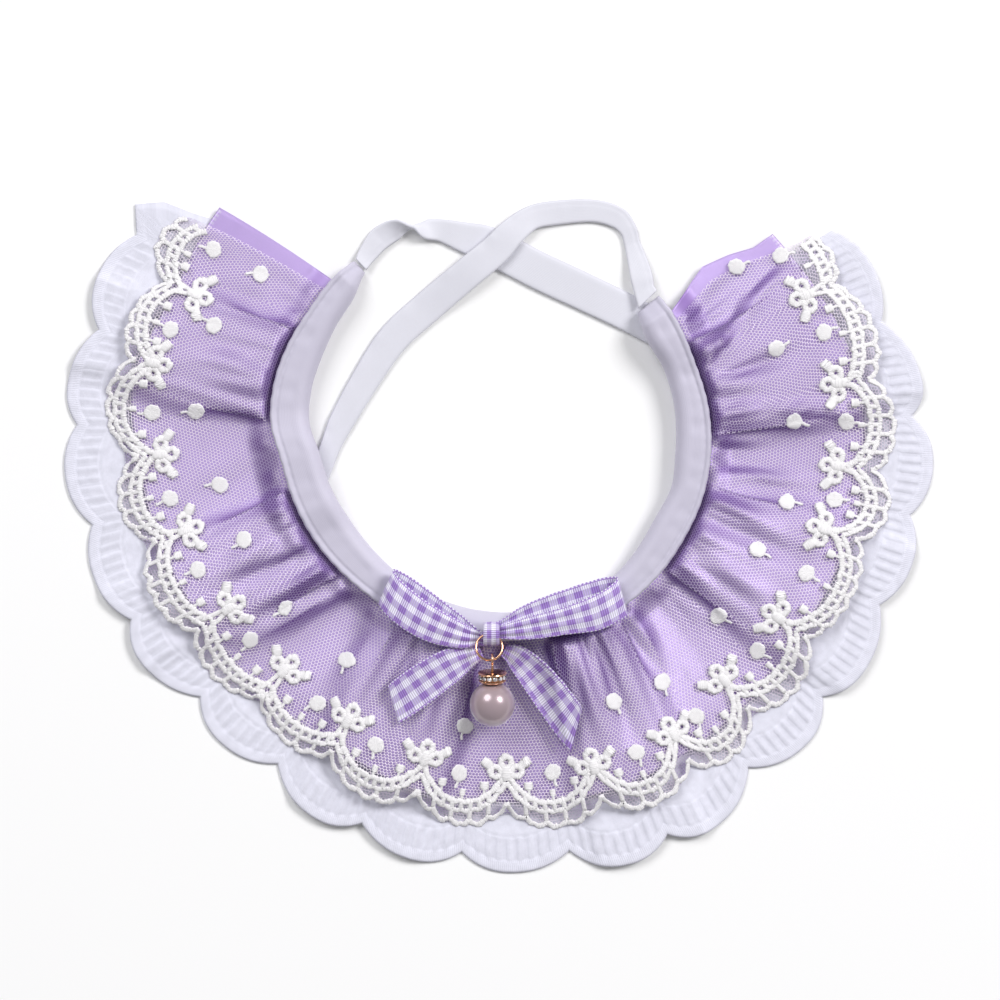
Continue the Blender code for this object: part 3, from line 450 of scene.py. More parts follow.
# node is the plain solid it stands for; wall is thickness and side: 1 outwards, -1 inwards, 0 both
def finishPiece(name, mesh, material, body, slot, node=None, wall=None):
    piece = bpy.data.objects.new(name, mesh)
    mesh.materials.append(material)
    bpy.context.scene.collection.objects.link(piece)
    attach(piece, body)
    if wall:
        solid = piece.modifiers.new("wall", "SOLIDIFY")
        solid.thickness = wall[0] * mm
        solid.offset = wall[1]
        solid.use_even_offset = False
    if node:
        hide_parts(node)
    return piece


# raised cords: a flat-bottomed ring of six points round each path, closed at both ends;
# paths, normals are (cords, points, 3), widths (cords, points)
def cordParts(paths, normals, widths, tall):
    sides = 6
    along = unit(np.gradient(paths, axis=1))
    beside = unit(np.cross(normals, along))
    turns = circle(sides)
    reach = 0.5 * widths[..., None, None]
    across = beside[:, :, None, :] * np.cos(turns)[:, None] * reach
    rise = np.where(np.sin(turns) > 0, tall, 0.35) * np.sin(turns)
    lift = normals[:, :, None, :] * rise[:, None] * reach
    points = paths[:, :, None, :] + across + lift
    u = np.repeat(runLength(paths, 1)[:, :, None], sides + 1, axis=2)
    v = np.broadcast_to(np.arange(sides + 1) / sides, u.shape)
    return stackParts(points, np.stack([u, v], axis=-1))


def stackParts(points, uv):   # closed stacks (stacks, rows, sides, 3) as points, faces, caps and their UVs
    quads, caps = stackFaces(*points.shape[:3])
    return points.reshape(-1, 3), quads, caps, cornerPairs(uv).reshape(-1, 2), np.zeros((caps.size, 2))


# several batches of closed stacks as one piece of embroidery
def threadPiece(name, parts):
    offset = 0
    points, faceSets, uvs = [], [], []
    for vertices, quads, caps, quadUv, capUv in parts:
        points.append(vertices)
        faceSets += [quads + offset, caps + offset]
        uvs += [quadUv, capUv]
        offset += len(vertices)
    mesh = meshFrom(name, np.concatenate(points), faceSets, np.concatenate(uvs))
    return finishPiece(name, mesh, whiteThread, "root", "lilac_tulle")


def addNode(tree, kind, inputs=None, **settings):
    node = tree.nodes.new(kind)
    for key, value in settings.items():
        setattr(node, key, value)
    for key, value in (inputs or {}).items():
        if isinstance(value, bpy.types.NodeSocket):
            tree.links.new(value, node.inputs[key])
        else:
            node.inputs[key].default_value = value
    return node


# the helpers below work in the tree that the sockets they are given belong to
def treeOf(*values):
    return next(value.id_data for value in values if isinstance(value, bpy.types.NodeSocket))


def calc(operation, *values):
    return addNode(treeOf(*values), "ShaderNodeMath", dict(enumerate(values)), operation=operation).outputs[0]


def vecCalc(operation, *values, out=0):
    node = addNode(treeOf(*values), "ShaderNodeVectorMath", dict(enumerate(values)), operation=operation)
    return node.outputs[out]


def mixColour(share, *pair):
    inputs = {0: share, 6: pair[0], 7: pair[1]}
    return addNode(treeOf(share, *pair), "ShaderNodeMix", inputs, data_type="RGBA").outputs[2]


def mixValue(share, *pair):
    return addNode(treeOf(share, *pair), "ShaderNodeMix", {0: share, 2: pair[0], 3: pair[1]}).outputs[0]


def split(vector):
    return addNode(treeOf(vector), "ShaderNodeSeparateXYZ", {0: vector}).outputs


def noiseAt(place, scale, detail=2.0, out=0):
    inputs = {"Vector": place, "Scale": scale, "Detail": detail}
    return addNode(treeOf(place), "ShaderNodeTexNoise", inputs).outputs[out]


def ramp(value, low, high, start=0.0, stop=1.0):
    inputs = {0: value, 1: low, 2: high, 3: start, 4: stop}
    return addNode(treeOf(value), "ShaderNodeMapRange", inputs).outputs[0]


def newGroup(name, inputs, outputs):
    tree = bpy.data.node_groups.new(name, "ShaderNodeTree")
    for label, kind, value in inputs:
        made = tree.interface.new_socket(name=label, in_out="INPUT", socket_type="NodeSocket" + kind)
        if value is not None:
            made.default_value = value
    for label, kind in outputs:
        tree.interface.new_socket(name=label, in_out="OUTPUT", socket_type="NodeSocket" + kind)
    return tree, tree.nodes.new("NodeGroupInput").outputs, tree.nodes.new("NodeGroupOutput")


def placeGroup(group, **inputs):
    return addNode(treeOf(*inputs.values()), "ShaderNodeGroup", inputs, node_tree=group).outputs


def rgb(red, green, blue):
    return (red, green, blue, 1.0)


def newMaterial(name, roughness, metallic=0.0, **sockets):
    made = bpy.data.materials.new(name)
    made.use_nodes = True
    tree = made.node_tree
    shader = tree.nodes["Principled BSDF"]
    shader.inputs["Roughness"].default_value = roughness
    shader.inputs["Metallic"].default_value = metallic
    for key, value in sockets.items():
        shader.inputs[key.replace("_", " ")].default_value = value
    return made, tree, shader


def clothUv(tree):
    return addNode(tree, "ShaderNodeUVMap", uv_map="cloth").outputs[0]


def ownPlace(tree):
    return addNode(tree, "ShaderNodeTexCoord").outputs["Object"]


def feed(node, **sockets):
    for key, value in sockets.items():
        node.id_data.links.new(value, node.inputs[key.replace("_", " ")])


def bumped(shader, height, strength, distance):
    inputs = {"Height": height, "Strength": strength, "Distance": distance}
    feed(shader, Normal=addNode(treeOf(height), "ShaderNodeBump", inputs).outputs[0])


def scaled(vector, share):
    inputs = {0: vector, 3: share}
    return addNode(treeOf(vector), "ShaderNodeVectorMath", inputs, operation="SCALE").outputs[0]


def shaded(colour, *shades):   # a colour darkened by each shade in turn
    for shade in shades:
        colour = scaled(colour, shade)
    return colour


def tint(colour, *shades):
    node = addNode(treeOf(*shades), "ShaderNodeCombineXYZ", dict(enumerate(colour)))
    return shaded(node.outputs[0], *shades)


# fine plain weave: warp and weft ridges |sin| that take turns on top; its Shade output is painted shade,
# darker between the threads
def makeThreadWeave():
    tree, given, result = newGroup(
        "threadWeave",
        (("Vector", "Vector", None), ("Threads", "Float", 2.5), ("Warp", "Float", 0.5)),
        (("Height", "Float"), ("Shade", "Float")),
    )
    place = split(given["Vector"])
    waves = []
    for axis in (0, 1):
        phase = calc("MULTIPLY", place[axis], calc("MULTIPLY", given["Threads"], pi))
        waves.append(calc("SINE", phase))
    over = calc("MULTIPLY_ADD", calc("MULTIPLY", waves[0], waves[1]), 0.5, 0.5)
    warp, weft = (calc("ABSOLUTE", wave) for wave in waves)
    height = mixValue(calc("MULTIPLY_ADD", over, 0.6, given["Warp"]), warp, weft)
    feed(result, Height=height, Shade=calc("MULTIPLY_ADD", height, 0.25, 0.75))
    return tree


# hexagonal net: distance to the nearest centre of two offset lattices, measured on three axes
def makeHexNet():
    tree, given, result = newGroup(
        "hexNet",
        (("Vector", "Vector", None), ("Cell", "Float", 0.8), ("Thread", "Float", 0.3)),
        (("Mask", "Float"), ("Height", "Float")),
    )
    stretch = (1.0, 1 / sqrt(3), 1.0)
    cell = vecCalc("DIVIDE", given["Vector"], addNode(
        tree, "ShaderNodeCombineXYZ", {0: given["Cell"], 1: given["Cell"], 2: 1.0}).outputs[0])
    cells = []
    for shift in ((0.0, 0.0, 0.0), (0.5, sqrt(3) / 2, 0.0)):
        moved = vecCalc("MULTIPLY", vecCalc("ADD", cell, shift), stretch)
        middle = vecCalc("SUBTRACT", vecCalc("FRACTION", moved), (0.5, 0.5, 0.0))
        cells.append(vecCalc("MULTIPLY", middle, (1.0, sqrt(3), 0.0)))
    lengths = [vecCalc("LENGTH", c, out=1) for c in cells]
    nearer = calc("LESS_THAN", lengths[0], lengths[1])
    pick = addNode(tree, "ShaderNodeMix", {0: nearer, 4: cells[1], 5: cells[0]}, data_type="VECTOR")
    place = vecCalc("ABSOLUTE", pick.outputs[1])
    slanted = vecCalc("DOT_PRODUCT", place, (0.5, sqrt(3) / 2, 0.0), out=1)
    edge = calc("SUBTRACT", 0.5, calc("MAXIMUM", slanted, split(place)[0]))
    half = calc("MULTIPLY", given["Thread"], 0.5)
    feed(result, Height=ramp(edge, 0.0, half, 1.0, 0.0), Mask=calc("LESS_THAN", edge, half))
    return tree


# lines of thread side by side along one axis, each with a round back and a little unevenness;
# its Shade output is painted shade, darker between the lines
def makeThreadLines():
    tree, given, result = newGroup(
        "threadLines",
        (("Vector", "Vector", None), ("Pitch", "Float", 0.4), ("Slant", "Float", 0.0),
         ("Uneven", "Float", 0.3)),
        (("Height", "Float"), ("Shade", "Float")),
    )
    place = split(given["Vector"])
    noise = noiseAt(given["Vector"], 1.2)
    push = calc("MULTIPLY", calc("SUBTRACT", noise, 0.5), given["Uneven"])
    along = calc("ADD", calc("MULTIPLY_ADD", place[1], given["Slant"], place[0]), push)
    phase = calc("MULTIPLY", calc("DIVIDE", along, given["Pitch"]), pi)
    ridge = calc("ABSOLUTE", calc("SINE", phase))
    feed(result, Height=ridge, Shade=calc("MULTIPLY_ADD", ridge, 0.35, 0.65))
    return tree


# soft mottling of a cloth: two sizes of noise as one shade about 1
def makeMottle():
    tree, given, result = newGroup(
        "mottle",
        (("Vector", "Vector", None), ("Size", "Float", 6.0), ("Amount", "Float", 0.1)),
        (("Shade", "Float"), ("Grain", "Float")),
    )
    inverse = calc("DIVIDE", 1.0, given["Size"])
    broad = noiseAt(given["Vector"], inverse, 3.0)
    fine = noiseAt(given["Vector"], calc("MULTIPLY", inverse, 14.0))
    both = calc("MULTIPLY_ADD", fine, 0.45, broad)
    shade = calc("MULTIPLY_ADD", calc("SUBTRACT", both, 0.72), given["Amount"], 1.0)
    feed(result, Shade=shade, Grain=fine)
    return tree


# gingham: lengthwise and crosswise stripes mixed half and half, and thin crosswise ribs that
# let one or the other through; painted shade darkens each rib's valley
def makeGingham():
    tree, given, result = newGroup(
        "ginghamChecks",
        (("Vector", "Vector", None), ("Along", "Float", 4.0), ("Across", "Float", 3.2),
         ("Rib", "Float", 0.5),
         ("Dark", "Color", rgb(0.2, 0.08, 0.42)), ("Light", "Color", rgb(0.9, 0.86, 0.95))),
        (("Colour", "Color"), ("Height", "Float")),
    )
    place = split(given["Vector"])
    stripes = []
    for axis, period, shift in ((0, "Along", 0.35), (1, "Across", 0.75)):
        turn = calc("FRACT", calc("ADD", calc("DIVIDE", place[axis], given[period]), shift))
        fromMiddle = calc("ABSOLUTE", calc("SUBTRACT", turn, 0.5))
        stripes.append(mixColour(ramp(fromMiddle, 0.23, 0.27), given["Dark"], given["Light"]))
    rib = calc("FRACT", calc("DIVIDE", place[0], given["Rib"]))
    ridge = calc("SINE", calc("MULTIPLY", rib, pi))
    top = calc("MULTIPLY_ADD", ridge, 0.5, 0.2)
    # painted shade: each rib darker in its valley
    paintedRibShade = calc("MULTIPLY_ADD", ridge, 0.62, 0.58)
    feed(result, Colour=shaded(mixColour(top, *stripes), paintedRibShade), Height=ridge)
    return tree


# ladder of stitched bars between two lines: thin round bars across, one line at each end
def makeLadder():
    tree, given, result = newGroup(
        "stitchedLadder",
        (("Vector", "Vector", None), ("Pitch", "Float", 2.35), ("From", "Float", 2.5), ("To", "Float", 7.8)),
        (("Height", "Float"), ("Inside", "Float")),
    )
    push = scaled(noiseAt(given["Vector"], 0.8, out=1), 0.7)
    place = split(vecCalc("ADD", given["Vector"], push))
    turn = calc("FRACT", calc("DIVIDE", place[0], given["Pitch"]))
    aside = calc("MULTIPLY", calc("ABSOLUTE", calc("SUBTRACT", turn, 0.5)), given["Pitch"])
    bar = ramp(aside, 0.1, 0.5, 1.0, 0.0)
    inside = calc("MULTIPLY", calc("GREATER_THAN", place[1], given["From"]),
                  calc("LESS_THAN", place[1], given["To"]))
    lines = []
    for end in ("From", "To"):
        away = calc("ABSOLUTE", calc("SUBTRACT", place[1], given[end]))
        lines.append(ramp(away, 0.1, 0.55, 1.0, 0.0))
    height = calc("MAXIMUM", calc("MULTIPLY", bar, inside), calc("MAXIMUM", *lines))
    feed(result, Height=height, Inside=inside)
    return tree


threadWeave = makeThreadWeave()
hexNet = makeHexNet()
threadLines = makeThreadLines()
mottle = makeMottle()
ginghamChecks = makeGingham()
ladder = makeLadder()


def paintedFoldShadeMask(tree):   # painted shade: the slope value stored on each cloth point, 1 where it slopes steeply
    return addNode(tree, "ShaderNodeAttribute", attribute_name="paintedFoldShade").outputs["Fac"]


# white cotton: weave, stitched radial threads in the rim, soft mottling; painted shade in the thread
# valleys and across the ladder band, painted highlight on the raised bars; v is the distance from the
# scalloped edge
def cottonMaterial(look):
    made, tree, shader = newMaterial("whiteCotton", 0.85, Sheen_Weight=0.15, Sheen_Roughness=0.5)
    place = clothUv(tree)
    weave = placeGroup(threadWeave, Vector=place, Threads=look["threads"])
    stitch = placeGroup(threadLines, Vector=place, Pitch=0.42, Slant=0.1, Uneven=0.25)
    cloud = placeGroup(mottle, Vector=place, Size=2.2, Amount=0.3)
    inRim = ramp(split(place)[1], look["rim"], look["rim"] + 0.6, 1.0, 0.0)
    threads = mixValue(inRim, weave["Height"], stitch["Height"])
    bars = placeGroup(ladder, Vector=place, Pitch=look["barPitch"], From=look["barFrom"],
                      To=look["barTo"])
    # painted shade in the thread valleys, painted highlight on the raised bars, painted shade across the
    # ladder band
    shade = calc("MULTIPLY_ADD", threads, 0.1, 0.90)
    light = calc("MULTIPLY_ADD", bars["Height"], 0.045, 1.0)
    paintedLadderShade = calc("MULTIPLY_ADD", bars["Inside"], -0.03, 1.0)
    feed(shader, Base_Color=tint(look["colour"], cloud["Shade"], shade, light, paintedLadderShade))
    height = calc("MULTIPLY_ADD", bars["Height"], 1.1, threads)
    bumped(shader, calc("MULTIPLY_ADD", cloud["Grain"], 1.5, height), 0.4, 0.00012)
    return made


# white embroidery thread, wrapped across the cord it makes; painted shade darkens the grooves between the
# wraps
def threadMaterial(look):
    made, tree, shader = newMaterial("whiteThread", 0.8, Sheen_Weight=0.1, Sheen_Roughness=0.5)
    place = clothUv(tree)
    stitch = placeGroup(threadLines, Vector=place, Pitch=look["pitch"], Slant=0.3, Uneven=0.7)
    cloud = placeGroup(mottle, Vector=place, Size=1.6, Amount=0.16)
    paintedWrapShade = calc("MULTIPLY_ADD", stitch["Height"], 0.1, 0.92)
    feed(shader, Base_Color=tint(look["colour"], cloud["Shade"], paintedWrapShade))
    fuzz = calc("MULTIPLY_ADD", cloud["Grain"], 1.6, stitch["Height"])
    bumped(shader, fuzz, 0.6, 0.00018)
    return made


# lilac satin: long weft floats that catch the light, a stitched selvedge near the hem, and painted
# shade: a deeper colour where the cloth slopes steeply
def satinMaterial(look):
    made, tree, shader = newMaterial("lilacSatin", look["roughness"], look["silk"], Anisotropic=0.4,
                                     Specular_IOR_Level=1.0, Sheen_Weight=0.3, Sheen_Roughness=0.35)
    place = clothUv(tree)
    floats = placeGroup(threadLines, Vector=place, Pitch=0.16, Slant=0.0, Uneven=0.08)
    cloud = placeGroup(mottle, Vector=place, Size=7.0, Amount=0.12)
    ticks = placeGroup(threadLines, Vector=place, Pitch=0.9, Slant=0.0, Uneven=0.1)
    selvedge = ramp(split(place)[1], 0.9, 1.2, 1.0, 0.0)
    inTick = calc("MULTIPLY", selvedge, calc("GREATER_THAN", ticks["Height"], 0.6))
    base = mixColour(paintedFoldShadeMask(tree), rgb(*look["colour"]), rgb(*look["paintedShadeColour"]))
    colour = mixColour(inTick, shaded(base, cloud["Shade"]), rgb(*look["tick"]))
    feed(shader, Base_Color=colour)
    height = calc("MULTIPLY_ADD", inTick, 0.8, floats["Height"])
    bumped(shader, height, 0.35, 0.00008)
    return made


# net: hexagonal thread with open holes, and painted shade: a deeper colour where the cloth slopes steeply
def netMaterial(look):
    made, tree, shader = newMaterial("lilacNet", 0.42, look["silk"], Specular_IOR_Level=1.0, Sheen_Weight=0.4,
                                     Sheen_Roughness=0.4)
    place = clothUv(tree)
    net = placeGroup(hexNet, Vector=place, Cell=look["cell"], Thread=look["thread"])
    cloud = placeGroup(mottle, Vector=place, Size=9.0, Amount=0.1)
    base = mixColour(paintedFoldShadeMask(tree), rgb(*look["colour"]), rgb(*look["paintedShadeColour"]))
    feed(shader, Base_Color=shaded(base, cloud["Shade"]), Alpha=net["Mask"])
    bumped(shader, net["Height"], 0.5, 0.00012)
    return made


# white tape: smooth close weave with a faint slub
def tapeMaterial(look):
    made, tree, shader = newMaterial(look["name"], 0.55, Sheen_Weight=0.25, Sheen_Roughness=0.4)
    place = clothUv(tree)
    weave = placeGroup(threadWeave, Vector=place, Threads=look["threads"])
    cloud = placeGroup(mottle, Vector=place, Size=8.0, Amount=0.08)
    feed(shader, Base_Color=tint(look["colour"], cloud["Shade"]))
    bumped(shader, weave["Height"], 0.3, 0.00006)
    return made


# gingham ribbon: checks, ribs, and a purple stitched edge with small light loops; v is the
# distance from the ribbon's middle
def ribbonMaterial(look):
    made, tree, shader = newMaterial("ginghamRibbon", 0.42, Sheen_Weight=0.2, Sheen_Roughness=0.4)
    place = clothUv(tree)
    checks = placeGroup(ginghamChecks, Vector=place, Along=look["along"], Across=look["across"],
                        Rib=look["rib"], Dark=rgb(*look["dark"]), Light=rgb(*look["light"]))
    cloud = placeGroup(mottle, Vector=place, Size=3.0, Amount=0.12)
    along, across, _ = split(place)
    aside = calc("ABSOLUTE", across)
    rim = calc("GREATER_THAN", aside, look["halfWidth"] - look["rim"])
    outer = calc("GREATER_THAN", aside, look["halfWidth"] - 0.6 * look["rim"])
    turn = calc("FRACT", calc("DIVIDE", along, 0.95))
    dash = calc("MULTIPLY", calc("GREATER_THAN", turn, 0.5), outer)
    rimColour = mixColour(dash, rgb(*look["edge"]), rgb(*look["light"]))
    colour = mixColour(rim, checks["Colour"], rimColour)
    feed(shader, Base_Color=shaded(colour, cloud["Shade"]))
    bumped(shader, calc("ADD", checks["Height"], calc("MULTIPLY", rim, dash)), 0.5, 0.00012)
    return made


# rose gold plating: faint drawing lines and worn patches in the roughness
def goldMaterial(look):
    made, tree, shader = newMaterial("roseGold", 0.2, 1.0)
    noise = noiseAt(ownPlace(tree), 140.0)
    rough = calc("MULTIPLY_ADD", noise, 0.1, 0.13)
    shade = calc("MULTIPLY_ADD", noise, 0.15, 0.92)
    feed(shader, Base_Color=tint(look["colour"], shade), Roughness=rough)
    return made


# cut stones: clear facets with painted reflections, bright and dark patches that change from place to place
def stoneMaterial(look):
    made, tree, shader = newMaterial("clearStone", 0.05, 0.35, Coat_Weight=1.0, IOR=1.7)
    cells = addNode(tree, "ShaderNodeTexVoronoi", {"Vector": ownPlace(tree), "Scale": 1700.0})
    paintedFacetGlint = addNode(tree, "ShaderNodeSeparateColor", {0: cells.outputs["Color"]}).outputs[0]
    shade = calc("MULTIPLY_ADD", paintedFacetGlint, 1.5, 0.04)
    feed(shader, Base_Color=tint(look["colour"], shade))
    return made


# pearl: nacre, rose with lilac clouds; its sheen and clear coat give the lustre and the paler rim
def pearlMaterial(look):
    made, tree, shader = newMaterial("pearlNacre", 0.28, look["lustre"], Coat_Weight=1.0, Coat_Roughness=0.1,
                                     Sheen_Weight=1.0, Sheen_Roughness=0.3)
    place = ownPlace(tree)
    cloud = noiseAt(place, 160.0)
    feed(shader, Base_Color=mixColour(cloud, rgb(*look["rose"]), rgb(*look["lilac"])))
    bumped(shader, noiseAt(place, 2500.0), 0.05, 0.00002)
    return made


cottonLook = {"colour": (0.80, 0.80, 0.91), "threads": 4.0, "rim": 2.2, "barPitch": 2.35, "barFrom": 2.7,
              "barTo": 7.9}
threadLook = {"colour": (1.0, 0.985, 1.0), "pitch": 0.3}
# the deep colours of satin and net are painted shade for steeply sloping cloth
satinLook = {"colour": (0.56, 0.41, 0.80), "paintedShadeColour": (0.22, 0.10, 0.42), "tick": (0.64, 0.54, 0.82),
             "roughness": 0.36, "silk": 0.3}
netLook = {"colour": (0.98, 0.89, 1.0), "paintedShadeColour": (0.46, 0.33, 0.67), "cell": 0.78, "thread": 0.17, "silk": 0.2}
# the neck tape's look is the ties' white tape made darker: painted shade
tapePaintedShadeLook = {"name": "whiteTapePaintedShade", "colour": (0.57, 0.545, 0.66), "threads": 3.0}
tapeLook = {"name": "whiteTape", "colour": (0.71, 0.71, 0.78), "threads": 3.0}
ribbonLook = {"along": 4.0, "across": 3.2, "rib": 0.52, "rim": 0.55, "dark": (0.30, 0.18, 0.53),
              "light": (0.76, 0.73, 0.88), "edge": (0.33, 0.20, 0.56), "halfWidth": 4.7}
goldLook = {"colour": (0.80, 0.47, 0.30)}
stoneLook = {"colour": (0.80, 0.78, 0.82)}
pearlLook = {"rose": (0.46, 0.34, 0.35), "lilac": (0.42, 0.34, 0.40), "lustre": 0.25}

whiteCotton = cottonMaterial(cottonLook)
whiteThread = threadMaterial(threadLook)
lilacSatin = satinMaterial(satinLook)
lilacNet = netMaterial(netLook)
whiteTapePaintedShade = tapeMaterial(tapePaintedShadeLook)
whiteTape = tapeMaterial(tapeLook)
ginghamRibbon = ribbonMaterial(ribbonLook)
roseGold = goldMaterial(goldLook)
clearStone = stoneMaterial(stoneLook)
pearlNacre = pearlMaterial(pearlLook)

print("stage 3: frill layers")


# angles between guide lines: guides is (rows, guides), counts the spans between two of them
def guideColumns(guides, counts):
    columns = []
    for k, count in enumerate(counts):
        t = np.arange(count) / count
        columns.append(guides[:, k:k + 1] + (guides[:, k + 1:k + 2] - guides[:, k:k + 1]) * t)
    return np.concatenate(columns + [guides[:, -1:]], axis=1)


# guide lines of satin and net: each pleat's edges and the foot of its skirts
def pleatGuides(radius, leftEnd, rightEnd, grow):
    guides = [cutAngle(radius, leftEnd)]
    for row in pleatRows:
        left, right, down = panelEdges(row, radius)
        leftRun, rightRun = (np.degrees((skirtRun(radius, row[k]) + grow) / radius) for k in (6, 7))
        aside = np.degrees(grow / radius)
        guides += [left - leftRun, left - aside, right + aside, right + rightRun]
    guides.append(cutAngle(radius, rightEnd))
    guides = np.stack(guides, axis=1)
    return np.maximum.accumulate(guides, axis=1)


frillSpans = {"panel": 22, "skirt": 9, "hollow": 9, "end": 14}
onePleat = [frillSpans[part] for part in ("skirt", "panel", "skirt", "hollow")]
pleatCounts = [frillSpans["end"]] + (onePleat * len(pleatRows))[:-1] + [frillSpans["end"]]


# rows of a frill: from inside the tape to the edge, radius = start + (edge - start) * share
def frillGrid(edge, leftEnd, rightEnd, rows, reach, grow):
    share = np.linspace(0, 1, rows)
    nominal = neckNominal + (reach - neckNominal) * share
    guides = pleatGuides(nominal, leftEnd, rightEnd, grow)
    angle = guideColumns(guides, pleatCounts)
    start = neckEdge(angle, 2) - underTape
    radius = start + (edge(angle) - start) * share[:, None]
    return angle, radius


cottonSizes = {
    "thickness": 0.42,
    "rim": 2.3,              # stitched edge
    "rimRise": 0.2,
    "barFrom": 2.5,          # ladder of raised bars, from the edge
    "barTo": 7.8,
    "barPitch": 2.35,
    "barRadius": 97.0,       # where the bars are spaced
    "barRise": 0.32,
    "innerLine": 8.7,        # second stitched line
    "pucker": 0.28,
}


# cotton: z = underside + rim + bars + second line + puckers, all by distance v from the edge
def makeCottonRuffle(sizes):
    edgeRows = np.concatenate([np.linspace(0, 3.0, 8), np.linspace(3.5, 9.6, 12), np.linspace(10.6, 26, 12)])
    innerShares = np.linspace(0, 1, 12)[1:]
    valleys = scallopRows[0]
    nominal = np.concatenate([98.0 - edgeRows, 72.0 + (48.0 - 72.0) * innerShares])
    first = cutAngle(nominal, cottonLeft)
    guides = [first, 0.5 * (first + valleys[0])] + [np.full(len(nominal), v) for v in valleys]
    guides.append(cutAngle(nominal, cottonRight))
    angle = guideColumns(np.stack(guides, axis=1), [3, 3] + [54] * len(valleys))
    edge = scallopRadius(angle)
    tape = neckEdge(angle, 2) - underTape
    outer = edge[:len(edgeRows)] - edgeRows[:, None]
    last = edge[len(edgeRows):] - edgeRows[-1]
    inner = last + (tape[len(edgeRows):] - last) * innerShares[:, None]
    radius = np.concatenate([outer, inner])
    v = edge - radius
    k, t = arcPlace(angle, scallopStarts)
    barCounts = np.round(np.radians(np.diff(scallopStarts)) * sizes["barRadius"] / sizes["barPitch"])
    bars = barCounts[k]
    ridge = hump(((t * bars) % 1 - 0.5) * sizes["barPitch"] / 0.62)
    window = ease((v - sizes["barFrom"] + 0.4) / 0.8) * (1 - ease((v - sizes["barTo"] + 0.4) / 0.8))
    run = np.radians(angle) * 95
    relief = sizes["rimRise"] * ease(v / 0.5 + 0.25) * (1 - ease((v - sizes["rim"] + 0.5) / 0.7))
    relief = relief + sizes["barRise"] * scallopRows[4][k] * ridge * window
    relief = relief + 0.13 * hump((v - sizes["innerLine"]) / 0.8)
    tip = ease((angle - first[0]) / (valleys[0] - first[0]))   # the stitching fades out to the cut end
    relief = relief * tip
    puff = uneven(run, ((9.1, 0.4), (5.3, 0.35), (3.7, 0.25)))
    puff = puff * uneven(v + run * 0.13, ((17.0, 0.6), (9.0, 0.5)))
    relief = relief + sizes["pucker"] * (0.5 + 0.5 * puff) * ease(v / 5)
    points = polar(angle, radius, cottonUnder(angle, radius) + relief)
    before = np.concatenate([[0], np.cumsum(barCounts)])
    uv = np.stack([(before[k] + t * bars) * sizes["barPitch"] + 9 * (tip - 1), v + 12 * (1 - tip)], axis=-1)
    return gridPiece("cottonRuffle", points[::-1], uv[::-1], whiteCotton, "root", "white_cotton",
                     node="cotton_lace_ruffle", wall=(sizes["thickness"], 1))


# painted fold shade of each point: 0 where the cloth lies level, 1 where it slopes by 37 degrees or more,
# from 1 - z of the normal between its neighbours in the grid; the materials darken the cloth by it
def keepPaintedFoldShade(piece, points):
    normal = unit(np.cross(np.gradient(points, axis=0), np.gradient(points, axis=1)))
    paintedFoldShade = np.clip((1 - np.abs(normal[..., 2]) - 0.02) / 0.18, 0, 1)
    values = piece.data.attributes.new("paintedFoldShade", "FLOAT", "POINT").data
    values.foreach_set("value", paintedFoldShade.astype(np.float32).ravel())
    return piece


def makeSatinRuffle(thickness):   # satin: its hem sinks over the last 7 mm by an ease curve
    angle, radius = frillGrid(satinRadius, satinLeft, satinRight, 52, 82, 0.0)
    droop = satinDroop * ease((radius - satinRadius(angle) + 7) / 7)
    points = frillPoints(angle, radius, satinLift - droop)
    uv = np.stack([np.radians(angle) * 70, satinRadius(angle) - radius], axis=-1)
    piece = gridPiece("satinRuffle", points, uv, lilacSatin, "root", "lilac_satin", node="satin_ruffle",
                      wall=(thickness, 0))
    return keepPaintedFoldShade(piece, points)


# net: its mesh runs by the cloth's own length along each row, counted from the middle of each
# panel and hollow
def makeNetRuffle(thickness):
    angle, radius = frillGrid(lambda a: laceRadius(a) - 0.5, netLeft, netRight, 64, 90, netGrow)
    points = netPoints(angle, radius)
    length, slope = runLength(points, 1), runLength(points, 0)
    bounds = np.concatenate([[0], np.cumsum(pleatCounts)])
    middles = 0.5 * (length[:, bounds[:-1]] + length[:, bounds[1:]])
    middle = np.repeat(middles, pleatCounts, axis=1)
    uv = cornerPairs(np.stack([length, slope], axis=-1))
    uv[..., 0] -= np.stack([middle[:-1], middle[1:], middle[1:], middle[:-1]], axis=-1)
    piece = gridPiece("netRuffle", points, uv, lilacNet, "root", "lilac_tulle", node="tulle_lace_ruffle",
                      wall=(thickness, 0))
    return keepPaintedFoldShade(piece, points)


cottonRuffle = makeCottonRuffle(cottonSizes)
satinRuffle = makeSatinRuffle(0.3)
netRuffle = makeNetRuffle(0.05)

print("stage 4: embroidery")

border = {
    "stem": 79.7,            # radius where neighbouring inner cords meet
    "stemDip": 82.0,         # second cord there
    "braid": 2.5,            # from the inner cord to the second one
    "innerWidth": 1.4,
    "secondWidth": 1.25,
    "outerWidth": 1.3,
    "knotPitch": 0.72,
    "rungPitch": 2.1,
    "rungRadius": 88.0,      # where the rungs are spaced
    "rungWidth": 1.15,
    "loopPitch": 4.4,
    "loopRadius": 90.0,
    "loopDepth": 1.3,
    "tieWidth": 1.1,
    "wobble": 0.11,          # uneven run of a cord
    "above": 0.08,           # cords over the net
    "strokeAbove": 0.12,     # flat strokes over the net
    "points": 141,           # along a cord, from one sprig to the next
    "ends": (-123.2, 121.2),   # where the border is cut off
}


